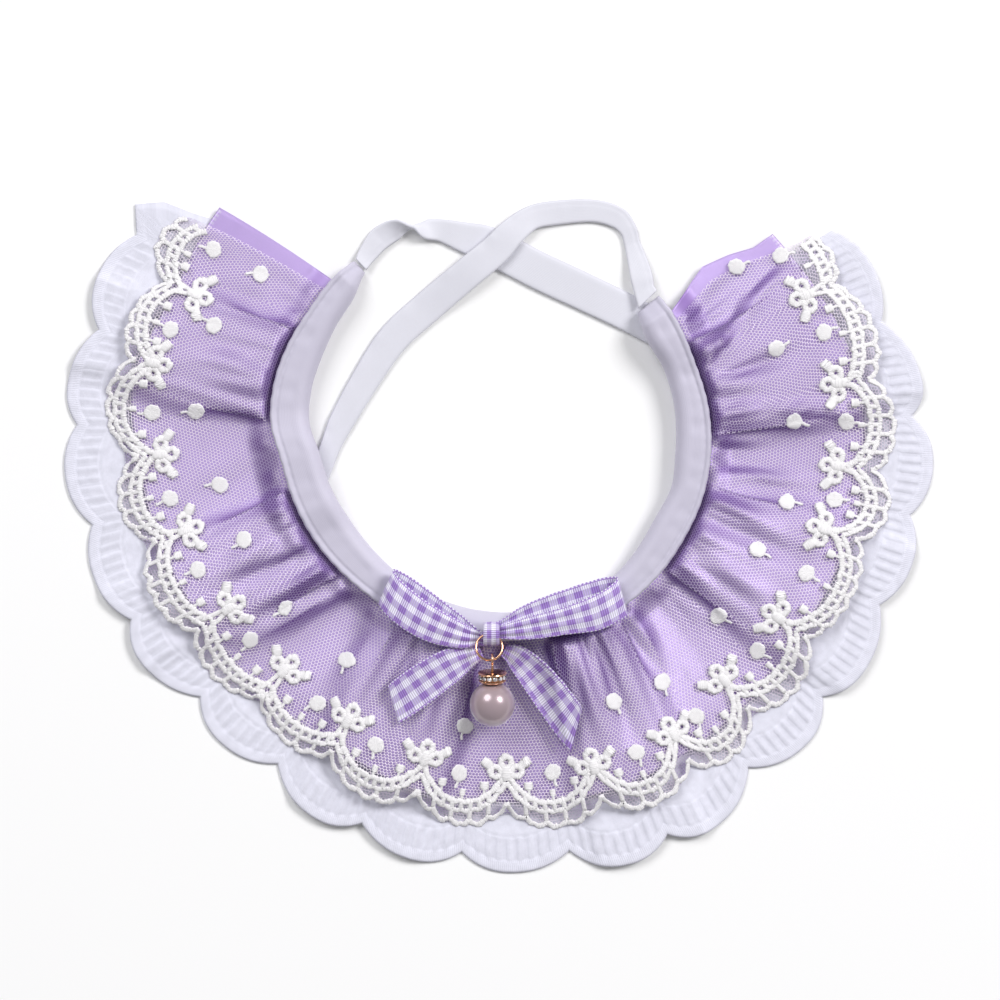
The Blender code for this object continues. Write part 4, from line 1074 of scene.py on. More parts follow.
def knotty(length, width, pitch):   # width swells at each knot by |sin|, each by its own share
    own = 1 + 0.1 * uneven(length, ((3.7, 1.0), (2.3, 0.8), (0.9, 0.9), (0.61, 0.9)))
    return width * own * (0.86 + 0.2 * np.abs(np.sin(pi * length / pitch)))


# cords laid on the net through (cords, points) arrays of angle and radius
def cordsOnNet(angle, radius, width, pitch, tall=0.34):
    wobble = border["wobble"] * uneven(np.radians(angle) * radius, ((2.9, 1.0), (1.7, 0.7)))
    points, normals = netFrame(angle, radius + wobble)
    widths = knotty(runLength(points, 1), width, pitch) if pitch else np.broadcast_to(width, angle.shape)
    return cordParts(points + normals * border["above"], normals, widths, tall)


def innerCord(angle):
    k, t = arcPlace(angle, laceStarts)
    return border["stem"] + (laceRows[3][k] - border["stem"]) * arcBetween(t)


def secondCord(angle):
    k, t = arcPlace(angle, laceStarts)
    peak = laceRows[3][k] + border["braid"] - 0.4
    low = np.minimum(border["stemDip"], peak)
    return low + (peak - low) * arcBetween(t)


def outerCord(angle):
    k, t = arcPlace(angle, laceStarts)
    arc = np.radians(laceStarts[k + 1] - laceStarts[k]) * border["loopRadius"]
    loops = np.maximum(np.round(arc / border["loopPitch"]), 1)
    bulge = np.abs(np.sin(pi * t * loops)) ** 0.6
    return laceRadius(angle) - 0.7 - border["loopDepth"] * (1 - bulge)


# border: three knotty cords per arc, rungs between the first two, wider ones out to the loops
def makeLaceBorder():
    ends = laceStarts
    count = border["points"]
    t = np.linspace(0, 1, count)
    angle = ends[:-1, None] + (ends[1:] - ends[:-1])[:, None] * t
    angle[0] = np.linspace(border["ends"][0], ends[1], count)
    angle[-1] = np.linspace(ends[-2], border["ends"][1], count)
    inside = angle + np.where(t < 0.5, 1e-6, -1e-6)
    cords = ((innerCord, "innerWidth"), (secondCord, "secondWidth"), (outerCord, "outerWidth"))
    parts = [cordsOnNet(angle, cord(inside), border[width], border["knotPitch"]) for cord, width in cords]
    for pitch, first, second, width in (
        (border["rungPitch"], innerCord, secondCord, border["rungWidth"]),
        (border["loopPitch"], secondCord, outerCord, border["tieWidth"]),
    ):
        rungs = []
        for start, stop in zip(ends[:-1], ends[1:]):
            count = max(int(round(radians(stop - start) * border["rungRadius"] / pitch)), 2)
            rungs.append(start + (stop - start) * np.arange(1, count) / count)
        places = np.concatenate(rungs)[:, None]
        share = np.linspace(0.05, 0.95, 6)
        radius = first(places) + (second(places) - first(places)) * share
        parts.append(cordsOnNet(places + 0 * share, radius, width, 0))
    return threadPiece("laceBorder", parts)


# strokes of one sprig in its own frame: x along the arc, y towards the neck, origin at the
# stem's foot. Petals are closed drops from start, as wide as sin(2 pi s) and (1 - cos(2 pi s)) / 2 long.
sprig = {
    "petals": ((0, 1.9, 2.7, 2.6), (-64, 1.3, 2.6, 2.5), (64, 1.3, 2.6, 2.5)),   # turn, start, length, width
    "leaves": ((-55, 4.1, 2.5), (55, 4.1, 2.5)),                                # turn, start, length
    "petalCord": 1.55,
    "leafWidth": 2.5,
    "heartWidth": 2.9,
    "squareWidth": 2.1,
}


def dropPath(turn, length, width, start):
    s = np.linspace(0, 1, 33)
    y = start + length * (1 - np.cos(2 * pi * s)) / 2
    x = 0.5 * width * np.sin(2 * pi * s) * np.sin(pi * s) ** 0.3
    a = radians(turn)
    return np.stack([x * cos(a) + y * sin(a), y * cos(a) - x * sin(a)], axis=-1)


# flat strokes as cords: places (cords, points, 2) about each sprig's foot
def strokesAt(strokes, footAngle, footRadius, width, tall, taper=None):
    paths = np.stack(strokes)[None] + 0 * footAngle[:, None, None, None]
    radius = footRadius[:, None, None] - paths[..., 1]
    angle = footAngle[:, None, None] + np.degrees(paths[..., 0] / radius)
    count = paths.shape[2]
    shake = uneven(paths[..., 0] + 2 * paths[..., 1], ((1.3, 1.0), (2.1, 0.8)))
    radius = radius + 0.5 * border["wobble"] * shake
    points, normals = netFrame(angle.reshape(-1, count), radius.reshape(-1, count))
    length = runLength(points, 1)
    widths = knotty(length, width, 1.2) if taper is None else width * taper + 0 * length
    return cordParts(points + normals * border["strokeAbove"], normals, widths, tall)


def makeSprigs():
    footAngle = laceRows[0][1:]
    head = laceRows[4][1:]
    stemTop = head + 2.6
    parts = []
    petals = [dropPath(turn, length, width, start) for turn, start, length, width in sprig["petals"]]
    parts.append(strokesAt(petals, footAngle, stemTop, sprig["petalCord"], 0.38))
    s = np.linspace(0, 1, 13)
    ragged = 1 + 0.09 * np.sin(9 * pi * s + 0.7)
    leaves = []
    for turn, start, length in sprig["leaves"]:
        a = radians(turn)
        reach = start + length * s
        leaves.append(np.stack([reach * sin(a), reach * cos(a)], axis=-1))
    leafWidth = sprig["leafWidth"] * ragged * (0.7 + 0.3 * np.sin(pi * np.clip(s * 0.85 + 0.1, 0, 1)))
    parts.append(strokesAt(leaves, footAngle, stemTop, 1.0, 0.32, leafWidth))
    heart = [np.stack([0 * s, -0.9 + 3.3 * s], axis=-1)]
    heartWidth = sprig["heartWidth"] * ragged * np.sin(pi * (0.15 + 0.7 * s)) ** 0.5
    parts.append(strokesAt(heart, footAngle, stemTop, 1.0, 0.4, heartWidth))
    for side in (-1, 1):   # two threads run from the head down to the border
        share = s[None, :]
        radius = stemTop[:, None] + 0.4 + (border["stem"] + 1.9 - stemTop[:, None]) * share
        angle = footAngle[:, None] + side * (0.3 + 0.7 * share)
        parts.append(cordsOnNet(angle, radius, 1.15, 0.8))
    middles = 0.5 * (laceStarts[:-1] + laceStarts[1:])
    small = np.concatenate([footAngle - 3.5, footAngle[:-1] + 3.5])
    for angles, drop, length, width in ((small, 1.1, 2.2, sprig["squareWidth"]), (middles, 0.8, 2.0, 1.4)):
        base = innerCord(angles)[:, None]
        radius = base - drop * 0.2 - (drop + length) * s
        taper = np.where(s > 0.45, width * ragged, 0.7)
        points, normals = netFrame(angles[:, None] + 0 * radius, radius)
        parts.append(cordParts(points + normals * border["strokeAbove"], normals, taper + 0 * radius, 0.34))
    return threadPiece("laceSprigs", parts)


# dots: angle and radius of each, and the turn of its thread tail
dotRows = np.array((
    (-121.3, 77.5, 20), (-106.0, 78.9, -10), (-92.0, 80.3, 5), (-77.5, 78.0, 10), (-64.5, 77.1, -8),
    (-49.5, 75.9, 12), (-33.5, 76.6, -30), (-21.5, 78.7, 4), (-7.0, 80.5, -6), (8.3, 80.5, 8),
    (22.3, 81.0, 0), (33.7, 80.3, -12), (48.5, 78.2, 10), (64.0, 77.5, -5), (77.3, 78.2, 14),
    (90.5, 78.9, -8), (106.0, 76.6, 6), (121.3, 74.8, -20),
    (-122.0, 65.3, 28), (-109.0, 69.7, -15), (-92.5, 70.2, 8), (-78.0, 66.2, -10), (-66.0, 64.6, 12),
    (-49.5, 64.9, -6), (-33.5, 64.6, 10), (-7.0, 69.5, -10), (22.0, 68.3, 5), (32.0, 69.5, -12),
    (48.5, 66.2, 10), (64.0, 65.1, -8), (75.0, 67.6, 6), (90.5, 66.9, -12), (105.5, 65.1, 10),
    (124.0, 64.9, -14),
)).T
dot = {"radius": 1.92, "rise": 0.34, "tail": 2.3}


# dots: flat domes with a ragged rim, z = rise * (1 - t^4), closed below; and short tails
def makeDots():
    rings, turns = 7, 30
    t = np.linspace(0, 1, rings)[None, :, None]
    turn = circle(turns)[None, None, :]
    number = np.arange(dotRows.shape[1])[:, None, None]
    wobble = 1 + 0.05 * np.sin(2 * turn + 2.1 * number) + 0.03 * np.sin(5 * turn + 1.3 * number)
    wobble = wobble + 0.035 * np.sin(9 * turn + 1.9 * number) + 0.03 * np.sin(13 * turn + 0.7 * number)
    reach = dot["radius"] * np.sin(0.5 * pi * (0.04 + 0.96 * t)) * wobble
    angle = dotRows[0][:, None, None] + np.degrees(reach * np.cos(turn) / dotRows[1][:, None, None])
    radius = dotRows[1][:, None, None] - reach * np.sin(turn)
    shape = angle.shape
    points, normals = netFrame(angle.reshape(shape[0], -1), radius.reshape(shape[0], -1))
    rise = dot["rise"] * (1 - t**4) - 0.06 * t
    rise = (rise + 0.05 * np.sin(9 * turn) * np.sin(pi * t) + 0.05 + 0 * angle).reshape(shape[0], -1, 1)
    flat = np.stack([reach * np.cos(turn), reach * np.sin(turn)], axis=-1)
    uv = np.concatenate([flat, flat[:, :, :1]], axis=2)
    parts = [stackParts((points + normals * rise).reshape(*shape, 3), uv)]
    s = np.linspace(0, 1, 8)[None, :]
    lean = np.radians(dotRows[2])[:, None]
    tailRadius = dotRows[1][:, None] + (1.2 + dot["tail"] * s) * np.cos(lean)
    tailAngle = dotRows[0][:, None] + np.degrees((1.2 + dot["tail"] * s) * np.sin(lean) / tailRadius)
    tailAngle = tailAngle + 0.12 * np.sin(5 * s + dotRows[2][:, None])
    parts.append(cordsOnNet(tailAngle, tailRadius, 0.7, 0, 0.3))
    return threadPiece("laceDots", parts)


laceBorder = makeLaceBorder()
laceSprigs = makeSprigs()
laceDots = makeDots()

print("stage 5: neck tape and ties")

tapeSizes = {"thickness": 0.45, "stitchFrom": 1.5, "stitchPitch": 2.3, "lip": 0.14, "groove": 0.2}


# neck tape: under ply, round fold towards the neck, top ply with a stitched groove and a lip; its
# white tape is darkened by painted shade
def makeNeckTape(sizes):
    angle = np.linspace(neckRows[0][0], neckRows[0][-1], 420)
    inner, outer = neckEdge(angle, 1), neckEdge(angle, 2)
    tall = np.minimum(neckEdge(angle, 3), tapeTall)
    floor = tuckLift(angle)
    half = tall / 2
    run = np.radians(angle) * 46
    ruck = uneven(run, ((11.0, 0.12), (6.3, 0.1), (4.1, 0.07)))
    rows = []
    for share in np.linspace(0, 1, 5)[:-1]:
        rows.append((outer + (inner + half - outer) * share, floor + 0 * outer))
    for turn in np.radians(np.linspace(-90, 90, 13)):
        belly = 0.10 * ruck * cos(turn)
        rows.append((inner + half * (1 - cos(turn)) + belly, floor + half * (1 + sin(turn))))
    for share in np.concatenate([np.linspace(0, 0.6, 6)[1:], np.linspace(0.64, 1, 13)]):
        r = inner + half + (outer - inner - half) * share
        toEdge = outer - r
        stitch = np.abs(np.sin(pi * run / sizes["stitchPitch"]))
        groove = sizes["groove"] * hump((toEdge - sizes["stitchFrom"]) / 0.6) * (0.5 + 0.5 * stitch)
        lip = sizes["lip"] * hump((toEdge - 0.55) / 0.8) - 0.35 * hump(toEdge / 0.4)
        z = floor + tall - groove + lip + ruck * (0.6 - 0.4 * share) - 0.12
        rows.append((r + 0.06 * np.sin(run * 2.1) * (share > 0.9), z))
    points = np.stack([polar(angle, r, z) for r, z in rows])
    v = np.linspace(0, 22, len(rows))[:, None] + 0 * angle
    uv = np.stack([run + 0 * v, v], axis=-1)
    return gridPiece("neckTape", points, uv, whiteTapePaintedShade, "root", "white_tape", node="neckband",
                     wall=(sizes["thickness"], -1))


# ties: x, y, z, half width, roll, skew, from the neck tape to the hidden end
tieLeftRows = (
    (-32.4, 36.9, 0.9, 1.8, 0, -16), (-30.9, 39.3, 0.3, 2.2, 0, -6), (-28.0, 42.9, 0.0, 2.7, 0, 0),
    (-24.2, 45.0, 0.1, 2.4, 20, 0), (-20.7, 45.5, 0.4, 1.3, 90, 0), (-17.6, 44.9, 0.1, 2.3, 160, 0),
    (-14.0, 44.7, 0.0, 2.6, 180, 0), (-8.5, 43.1, 0.0, 3.5, 180, 0), (-2.6, 41.2, 0.0, 4.2, 180, 0),
    (8.0, 35.7, 0.0, 4.3, 180, 0), (18.5, 30.8, 0.0, 4.3, 180, 0), (28.5, 26.0, 0.0, 4.2, 180, 0),
    (36.0, 22.0, 0.0, 4.1, 180, 0),
)
tieRightRows = (
    (33.4, 28.8, 2.2, 3.0, 0, 24), (32.6, 31.0, 1.8, 2.5, 0, 10), (32.0, 34.0, 1.6, 2.6, 0, 0),
    (31.0, 38.0, 0.6, 2.3, 0, 0), (29.9, 41.7, 0.0, 1.9, 0, 0), (29.0, 44.8, 0.0, 2.0, 0, 0),
    (26.4, 47.7, 0.0, 2.5, 0, 0), (20.9, 49.2, 0.0, 2.6, 0, 0), (12.9, 48.8, 0.0, 2.8, 0, 0),
    (6.9, 47.6, 0.6, 2.8, 0, 0), (2.1, 44.0, 1.5, 3.2, 0, 0), (-1.3, 40.3, 1.6, 3.5, 0, 0),
    (-7.8, 34.9, 1.5, 3.6, 0, 0), (-17.0, 27.2, 0.1, 3.7, 0, 0), (-25.0, 19.8, 0.0, 3.6, 0, 0),
    (-31.3, 10.5, 0.0, 3.3, 0, 0), (-36.8, 0.9, 0.0, 2.9, 0, 0), (-39.3, -4.6, 0.0, 2.4, 0, 0),
    (-41.1, -9.2, 0.0, 2.4, 0, 0), (-43.5, -14.8, 0.0, 2.6, 0, 0),
)
tie = {"thickness": 0.26, "tall": 1.0, "stitchFrom": 0.9, "stitchPitch": 2.4}


def sideways(centre, skew):   # level direction across a path, turned on by the skew
    along = np.gradient(centre, axis=0)
    heading = np.arctan2(along[:, 1], along[:, 0]) + pi / 2 + np.radians(skew)
    return np.stack([np.cos(heading), np.sin(heading), np.zeros(len(centre))], axis=1)


# tie: a folded tape carried along the rows; its profile runs from the stitched edge over the
# top ply, round the fold and back along the under ply
def makeTie(name, rows, node, stitchSide):
    path = smoothRows(rows, 9)
    centre = path[:, :3] + neckMiddle
    centre[:, 2] = np.maximum(centre[:, 2], 0)
    level = sideways(centre, path[:, 5])
    roll = np.radians(path[:, 4])[:, None]
    across = level * np.cos(roll) + up * np.sin(roll)
    face = up * np.cos(roll) - level * np.sin(roll)
    centre[:, 2] += path[:, 3] * np.abs(np.sin(roll[:, 0])) + 0.5 * tie["tall"] * np.abs(face[:, 2])
    length = runLength(centre, 0)
    half = path[:, 3:4]
    thick = 0.5 * tie["tall"]
    top = np.linspace(1, -1, 12)[None, :]
    turn = np.radians(np.linspace(90, 270, 7))[None, 1:-1]
    flatX = half * top + thick * (top < 0) * -top
    foldX = -half + thick + thick * np.cos(turn)
    x = np.concatenate([flatX, foldX, flatX[:, ::-1]], axis=1)
    toEdge = half - flatX
    stitch = np.abs(np.sin(pi * length / tie["stitchPitch"]))[:, None]
    groove = 0.14 * hump((toEdge - tie["stitchFrom"]) / 0.6) * (0.4 + 0.6 * stitch)
    puff = 0.05 * uneven(length, ((7.0, 1.0), (4.3, 0.8)))[:, None] * hump(toEdge / 3)
    flatZ = thick - groove + puff - 0.18 * hump(toEdge / 0.35)
    below = thick - 0.18 * hump(toEdge / 0.35)
    z = np.concatenate([flatZ, thick * np.sin(turn) + 0 * half, -below[:, ::-1]], axis=1)
    points = centre[:, None] + (x * stitchSide)[..., None] * across[:, None] + z[..., None] * face[:, None]
    v = np.cumsum(np.abs(np.diff(x, axis=1, prepend=x[:, :1])), axis=1)
    uv = np.stack([length[:, None] + 0 * v, v], axis=-1)
    if stitchSide > 0:
        points, uv = points[::-1], uv[::-1]
    return gridPiece(name, points, uv, whiteTape, "root", "white_tape", node=node,
                     wall=(tie["thickness"], -1))


neckTape = makeNeckTape(tapeSizes)
tieLeft = makeTie("tieLeft", tieLeftRows, "tie_left", -1)
tieRight = makeTie("tieRight", tieRightRows, "tie_right", -1)

print("stage 6: bow")

knotPlace = np.array([-2.42, -47.75])
knotSize = {"width": 3.7, "depth": 5.8, "tall": 5.9, "thickness": 0.45, "run": 2.9}   # run: mean radius
ribbonLift = 0.55
# a loop's rows: along, side, z, half width, from the knot out and back on top
loopLeftRows = (
    (-0.9, -2.0, 0.1, 1.5), (0.75, -2.0, 0.0, 1.8), (4.6, -2.2, 0.0, 3.0), (9.6, -1.9, 0.0, 3.9),
    (16.2, -0.8, 0.0, 4.4), (21.6, 0.2, 0.3, 4.4), (24.4, 0.3, 1.7, 4.2), (21.8, -1.4, 3.3, 4.3),
    (16.0, -3.0, 3.6, 4.2), (10.0, -3.6, 3.1, 3.8), (4.0, -3.2, 1.9, 2.8), (0.75, -2.2, 1.35, 1.7),
    (-0.9, -2.0, 1.2, 1.4),
)
loopRightRows = (
    (-0.9, 0.5, 0.1, 1.5), (0.75, 0.6, 0.0, 1.9), (5.0, 0.7, 0.0, 3.1), (10.0, 0.8, 0.0, 3.9),
    (18.0, 0.9, 0.0, 4.4), (26.0, 1.0, 0.3, 4.5), (29.2, 0.3, 1.9, 4.4), (26.6, -0.9, 3.6, 4.1),
    (21.6, -1.8, 3.9, 3.9), (14.6, -1.6, 3.4, 3.1), (7.0, -1.1, 2.2, 2.6), (0.75, -0.3, 1.35, 1.6),
    (-0.9, -0.2, 1.2, 1.4),
)
# a tail's rows: x, y, half width, skew of the cut
tailLeftRows = (
    (-4.6, -51.9, 1.5, 0), (-7.6, -53.0, 2.6, 0), (-11.6, -54.9, 3.9, 0), (-17.0, -58.4, 4.5, 0),
    (-21.9, -61.9, 4.6, -8), (-24.8, -64.0, 4.5, -20),
)
tailRightRows = (
    (0.4, -51.6, 1.4, 0), (3.6, -53.4, 2.9, 0), (8.8, -59.0, 4.0, 0), (14.2, -66.2, 4.5, 14),
    (17.0, -69.9, 5.0, 38),
)
ribbon = {"thickness": 0.28, "halfWidth": 4.7, "columns": 27, "picot": 0.05}


# pleats where the ribbon is pinched: waves across it, deeper as it narrows
def pinchWave(across, half, phase):
    shut = np.clip(1 - half / ribbon["halfWidth"], 0, 1)
    return 0.55 * shut * np.cos(2.6 * pi * across + phase)


# ribbon: its place across, uneven at the edges, from the run along it and the share across
def ribbonEdge(length, spread):
    return ribbon["picot"] * np.sin(2 * pi * length / 0.8) * np.abs(spread) ** 12 * np.sign(spread)


def ribbonPiece(name, node, points, length, spread, order):
    uv = np.stack([length + 0 * spread, ribbon["halfWidth"] * spread + 0 * length], axis=-1)
    return gridPiece(name, points[::order], uv[::order], ginghamRibbon, "root", "lilac_gingham", node=node,
                     wall=(ribbon["thickness"], 0))


def makeLoop(name, node, rows, side, heading, phase):
    path = smoothRows(rows, 12)
    turn = radians(heading)
    along = np.array([cos(turn), sin(turn), 0.0])
    beside = np.array([-sin(turn), cos(turn), 0.0]) * side
    start = neckMiddle + np.array([*knotPlace, 0.0]) + along * 0.5 * knotSize["width"]
    centre = start + along * path[:, :1] + beside * path[:, 1:2]
    centre[:, 2] = tapeTall + ribbonLift + 0.5 + path[:, 2]
    square = np.array([0.0, np.sign(beside[1]), 0.0])
    free = ease(path[:, :1] / 7.0)
    across = unit(square * (1 - free) + beside * free)
    spread = np.linspace(-1, 1, ribbon["columns"])[None, :]
    length = runLength(centre, 0)[:, None]
    wide = path[:, 3:4] * spread + ribbonEdge(length, spread)
    points = centre[:, None] + wide[..., None] * across[:, None]
    swell = 0.35 * (1 - spread**2) * ease(path[:, 2:3] - 0.8)
    ahead = unit(np.gradient(centre, axis=0))
    face = unit(np.cross(across, ahead)) * side
    wave = pinchWave(spread, path[:, 3:4], phase)
    points = points + up * swell[..., None] + face[:, None] * wave[..., None] * 0.7
    return ribbonPiece(name, node, points, length, spread, -side)


# upper face of the net's solid under a point, taken over a small patch so that hollows are bridged
def clothTop(x, y):
    top = np.zeros_like(x)
    for turn in np.linspace(0, 2 * pi, 12, endpoint=False):
        nearX, nearY = x + 1.6 * cos(turn), y + 1.6 * sin(turn)
        angle, radius = np.degrees(np.arctan2(nearX, -nearY)), np.hypot(nearX, nearY)
        height = np.zeros_like(x)
        for row in pleatRows:
            left, right, down = panelEdges(row, radius)
            across = np.clip((angle - left) / (right - left), 0, 1)
            crown = 1 + pleat["crown"] * 4 * across * (1 - across) / row[4]
            height += (row[4] + (row[5] - row[4]) * down) * nearPanel(row, angle, radius) * crown
        top = np.maximum(top, cottonUnder(angle, radius) + 1.35 + height * standing(angle, radius))
    return top + 2.35


def makeTail(name, node, rows, phase):
    path = smoothRows(rows, 14)
    centre = np.stack([path[:, 0], path[:, 1], np.zeros(len(path))], axis=1)
    across = sideways(centre, path[:, 3])
    spread = np.linspace(-1, 1, ribbon["columns"])[None, :]
    length = runLength(centre, 0)[:, None]
    wide = path[:, 2:3] * spread + ribbonEdge(length, spread)
    points = centre[:, None] + wide[..., None] * across[:, None]
    points[..., 2] = clothTop(points[..., 0], points[..., 1]) + 0.6
    points[..., 2] += pinchWave(spread, path[:, 2:3], phase) * 0.5
    points[..., 2] += 0.25 * np.abs(spread) ** 3 * ease(length / 8)
    return ribbonPiece(name, node, points + neckMiddle, length, spread, -1)


# knot: an oval tube round X, x = half width * place, with two soft creases round it
def makeKnot():
    turn = circle(48)[None, :]
    place = np.linspace(1, -1, 25)[:, None]
    crease = 0.14 * np.cos(3 * pi * place) + 0.05 * np.sin(3 * turn + 4 * place)
    pinch = 0.15 * place**2 + 0.25 * np.abs(place) ** 8 - crease * (1 - place**2) * 0.6 + 0.1
    halfY, halfZ = 0.5 * knotSize["depth"] - pinch, 0.5 * knotSize["tall"] - pinch
    middle = tapeTall + 0.3 + 0.5 * knotSize["tall"]
    x = 0.5 * knotSize["width"] * place + knotPlace[0] + 0 * turn
    y = halfY * np.cos(turn) + knotPlace[1]
    z = middle + halfZ * np.sin(turn)
    points = np.stack([x, y, z], axis=-1) + neckMiddle
    girth = np.append(turn[0], 2 * pi)[None, :] * knotSize["run"]
    uv = np.stack([girth + 0 * place, knotSize["run"] * place + 0 * girth], axis=-1)
    return gridPiece("bowKnot", points, uv, ginghamRibbon, "root", "lilac_gingham", around=True,
                     node="bow_knot", wall=(knotSize["thickness"], -1))


bowLoopLeft = makeLoop("bowLoopLeft", "bow_loop_left", loopLeftRows, -1, 156.3, 0.6)
bowLoopRight = makeLoop("bowLoopRight", "bow_loop_right", loopRightRows, 1, 15.5, 2.0)
bowTailLeft = makeTail("bowTailLeft", "bow_tail_left", tailLeftRows, 1.2)
bowTailRight = makeTail("bowTailRight", "bow_tail_right", tailRightRows, 2.6)
bowKnot = makeKnot()

print("stage 7: charm")

charm = {
    "ringRadius": 3.0, "wire": 0.275, "ringTop": (-2.9, -47.85, 9.76), "ringTilt": 15.0,
    "charmTilt": 12.0, "eyeRadius": 1.2, "eyeAside": 0.7, "eyeOpen": 42.0, "bore": 0.6,
    "pearlRadius": 5.15, "pearlCentre": 10.4, "pinEnd": 7.0, "capTop": 2.9, "capRadius": 3.3,
    "stoneSeat": 2.75, "capFoot": 5.35, "stones": 14,
}
eyeDown = charm["ringRadius"] + sqrt(charm["ringRadius"] ** 2 - charm["eyeAside"] ** 2)


def tipped(points, degrees):   # turned about X
    a = radians(degrees)
    x, y, z = points[..., 0], points[..., 1], points[..., 2]
    return np.stack([x, y * cos(a) - z * sin(a), y * sin(a) + z * cos(a)], axis=-1)


def onRing(points):   # from the ring's own frame to the whole piece
    return tipped(points, -charm["ringTilt"]) + neckMiddle + np.array(charm["ringTop"])


def onCharm(points):   # from the charm's own frame, its axis running down -Y
    inRing = tipped(points, charm["ringTilt"] + charm["charmTilt"])
    return onRing(inRing + np.array([charm["eyeAside"], -eyeDown, 0.0]))


# ring: a torus, (R + w cos v) round its middle and w sin v up
def makeRing():
    a, b = circle(96)[:, None], circle(14)[None, :]
    reach = charm["ringRadius"] + charm["wire"] * np.cos(b)
    points = np.stack([reach * np.cos(a), reach * np.sin(a) - charm["ringRadius"],
                       charm["wire"] * np.sin(b) + 0 * a], axis=-1)
    return gridPiece("jumpRing", onRing(points), None, roseGold, "ring", "rose_gold", around=True, ring=True,
                     node="jump_ring")


# eye pin: a round wire carried up the stem and round the eye
def makeEyePin():
    stem = np.array([(0.0, -charm["pinEnd"]), (0.0, -4.0), (0.0, -charm["eyeRadius"] - 0.5)])
    a = np.radians(np.linspace(0, 360 - charm["eyeOpen"], 40))
    bend = np.stack([charm["eyeRadius"] * np.sin(a), -charm["eyeRadius"] * np.cos(a)], axis=1)
    line = np.concatenate([stem, bend])
    path = np.stack([0 * line[:, 0], line[:, 1], -line[:, 0]], axis=1)
    side = np.broadcast_to(np.array([1.0, 0.0, 0.0]), path.shape)
    turns = circle(12)[None, :, None]
    outward = unit(np.cross(unit(np.gradient(path, axis=0)), side))
    rings = path[:, None] + charm["wire"] * (np.cos(turns) * side[:, None] + np.sin(turns) * outward[:, None])
    faces, caps = stackFaces(1, len(path), 12)
    mesh = meshFrom("eyePin", onCharm(rings), [faces[:, ::-1], caps[:, ::-1]])
    return finishPiece("eyePin", mesh, roseGold, "charm", "rose_gold", node="eye_pin")


# turned pieces: a profile of (radius, down) carried round the charm's axis
def turnedPoints(profile, steps):
    profile = np.array(profile, float)
    a = circle(steps)[None, :]
    radius, down = profile[:, :1], profile[:, 1:]
    return onCharm(np.stack([radius * np.cos(a), -down + 0 * a, -radius * np.sin(a)], axis=-1))


def makeCap():
    top, rim, foot = charm["capTop"], charm["capRadius"], charm["capFoot"]
    bore, seat = charm["bore"], charm["stoneSeat"]
    hip = foot - 0.75
    profile = [(bore, top), (rim - 0.25, top), (rim - 0.06, top + 0.06), (rim, top + 0.2),
               (rim - 0.06, top + 0.36), (rim - 0.25, top + 0.43), (seat, top + 0.46),
               (seat - 0.15, top + 1.0), (seat, hip - 0.05), (rim - 0.4, hip), (rim - 0.22, hip + 0.1),
               (rim - 0.2, hip + 0.3),
               (rim - 0.35, hip + 0.5), (rim - 0.7, foot - 0.05), (rim - 1.0, foot),
               (rim - 1.5, hip + 0.3), (bore, hip + 0.3)]
    piece = gridPiece("pearlCap", turnedPoints(profile, 72), None, roseGold, "charm", "rose_gold",
                      around=True, ring=True, node="pearl_cap")
    piece.data.set_sharp_from_angle(angle=radians(35))
    return piece


# stones: eight-sided cut beads, profile of (height, radius) out of the seat, set round the cap
def makeStones():
    count = charm["stones"]
    profile = np.array(((0.0, 0.3), (0.12, 0.52), (0.34, 0.52), (0.52, 0.32), (0.56, 0.02)))
    side = (2 * pi * (np.arange(8) + 0.5) / 8)[None, None, :]
    place = circle(count)[:, None, None]
    height, reach = profile[:, 0][None, :, None], profile[:, 1][None, :, None]
    out = charm["stoneSeat"] - 0.1 + height
    aside = reach * np.cos(side)
    down = charm["capTop"] + 1.07 + reach * np.sin(side)
    x = out * np.cos(place) - aside * np.sin(place)
    z = -(out * np.sin(place) + aside * np.cos(place))
    points = onCharm(np.stack([x, -down + 0 * x, z], axis=-1))
    mesh = meshFrom("capStones", points, stackFaces(count, len(profile), 8))
    mesh.shade_flat()
    return finishPiece("capStones", mesh, clearStone, "charm", "rose_gold")


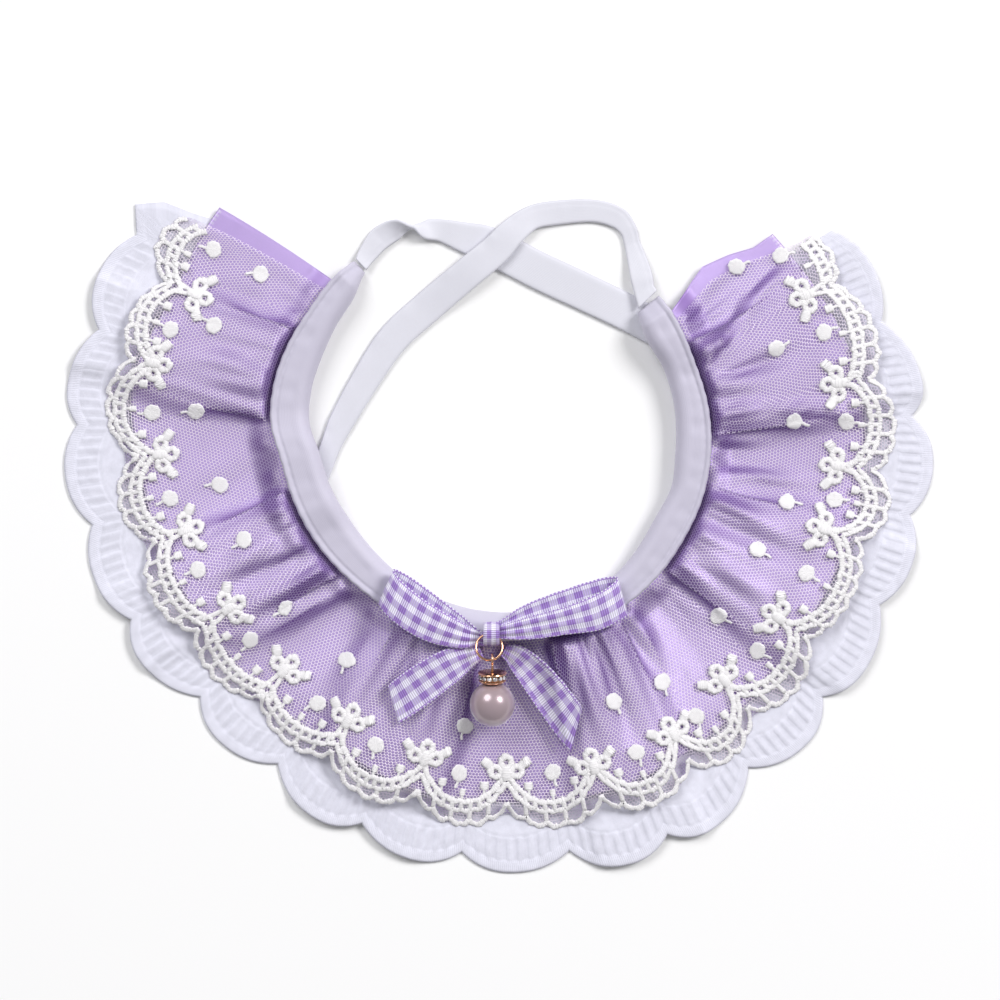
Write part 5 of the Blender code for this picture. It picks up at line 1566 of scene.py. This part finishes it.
def makePearl():
    ball, middle, bore = charm["pearlRadius"], charm["pearlCentre"], charm["bore"]
    start = np.arcsin(bore / ball)
    sweep = np.linspace(start, pi, 46)[:-1]
    profile = [(0.02, charm["pinEnd"] + 0.3), (bore - 0.05, charm["pinEnd"] + 0.3),
               (bore - 0.05, middle - ball * cos(start) + 0.1)]
    profile += [(ball * sin(a), middle - ball * cos(a)) for a in sweep]
    profile.append((0.02, middle + ball))
    mesh = meshFrom("pearlBead", turnedPoints(profile, 72), stackFaces(1, len(profile), 72))
    return finishPiece("pearlBead", mesh, pearlNacre, "charm", "pearl_white", node="pearl")


jumpRing = makeRing()
eyePin = makeEyePin()
pearlCap = makeCap()
capStones = makeStones()
pearlBead = makePearl()

print("stage 9: floor, light, camera")
studio = {"floor": 0.95, "window": 60.0, "fill": 42.0, "world": 0.29, "cameraHeight": 1.0,
          "fieldWidth": 230.0}


def makeFloor():
    size = 3.0
    mesh = bpy.data.meshes.new("paleFloor")
    corners = [(-size, -size, 0), (size, -size, 0), (size, size, 0), (-size, size, 0)]
    mesh.from_pydata(corners, [], [(0, 1, 2, 3)])
    mesh.materials.append(newMaterial("paleFloor", 0.9, Base_Color=rgb(*[studio["floor"]] * 3))[0])
    floor = bpy.data.objects.new("paleFloor", mesh)
    bpy.context.scene.collection.objects.link(floor)
    floor.location.z = -0.0001


def areaLight(name, place, size, power, colour):
    data = bpy.data.lights.new(name, "AREA")
    data.shape = "DISK"
    data.size = size
    data.energy = power
    data.color = colour
    lamp = bpy.data.objects.new(name, data)
    lamp.location = place
    lamp.rotation_euler = Vector(place).to_track_quat("Z", "Y").to_euler()
    bpy.context.scene.collection.objects.link(lamp)


makeFloor()
areaLight("windowLight", (1.85, 1.2, 2.0), 1.2, studio["window"], (1.0, 0.99, 0.99))
areaLight("fillLight", (-1.2, 1.6, 2.1), 1.8, studio["fill"], (0.98, 0.98, 1.0))
world = bpy.data.worlds.new("softRoom")
world.use_nodes = True
sky = world.node_tree.nodes["Background"].inputs
sky[0].default_value = rgb(1.0, 1.0, 1.0)
sky[1].default_value = studio["world"]
bpy.context.scene.world = world
bpy.context.scene.view_settings.view_transform = "Standard"

cameraData = bpy.data.cameras.new("camera")
cameraData.lens = cameraData.sensor_width * studio["cameraHeight"] / (studio["fieldWidth"] * mm)
cameraData.clip_end = 10.0
camera = bpy.data.objects.new("camera", cameraData)
camera.location = (0.000275, 0.00819, studio["cameraHeight"])
bpy.context.scene.collection.objects.link(camera)
bpy.context.scene.camera = camera
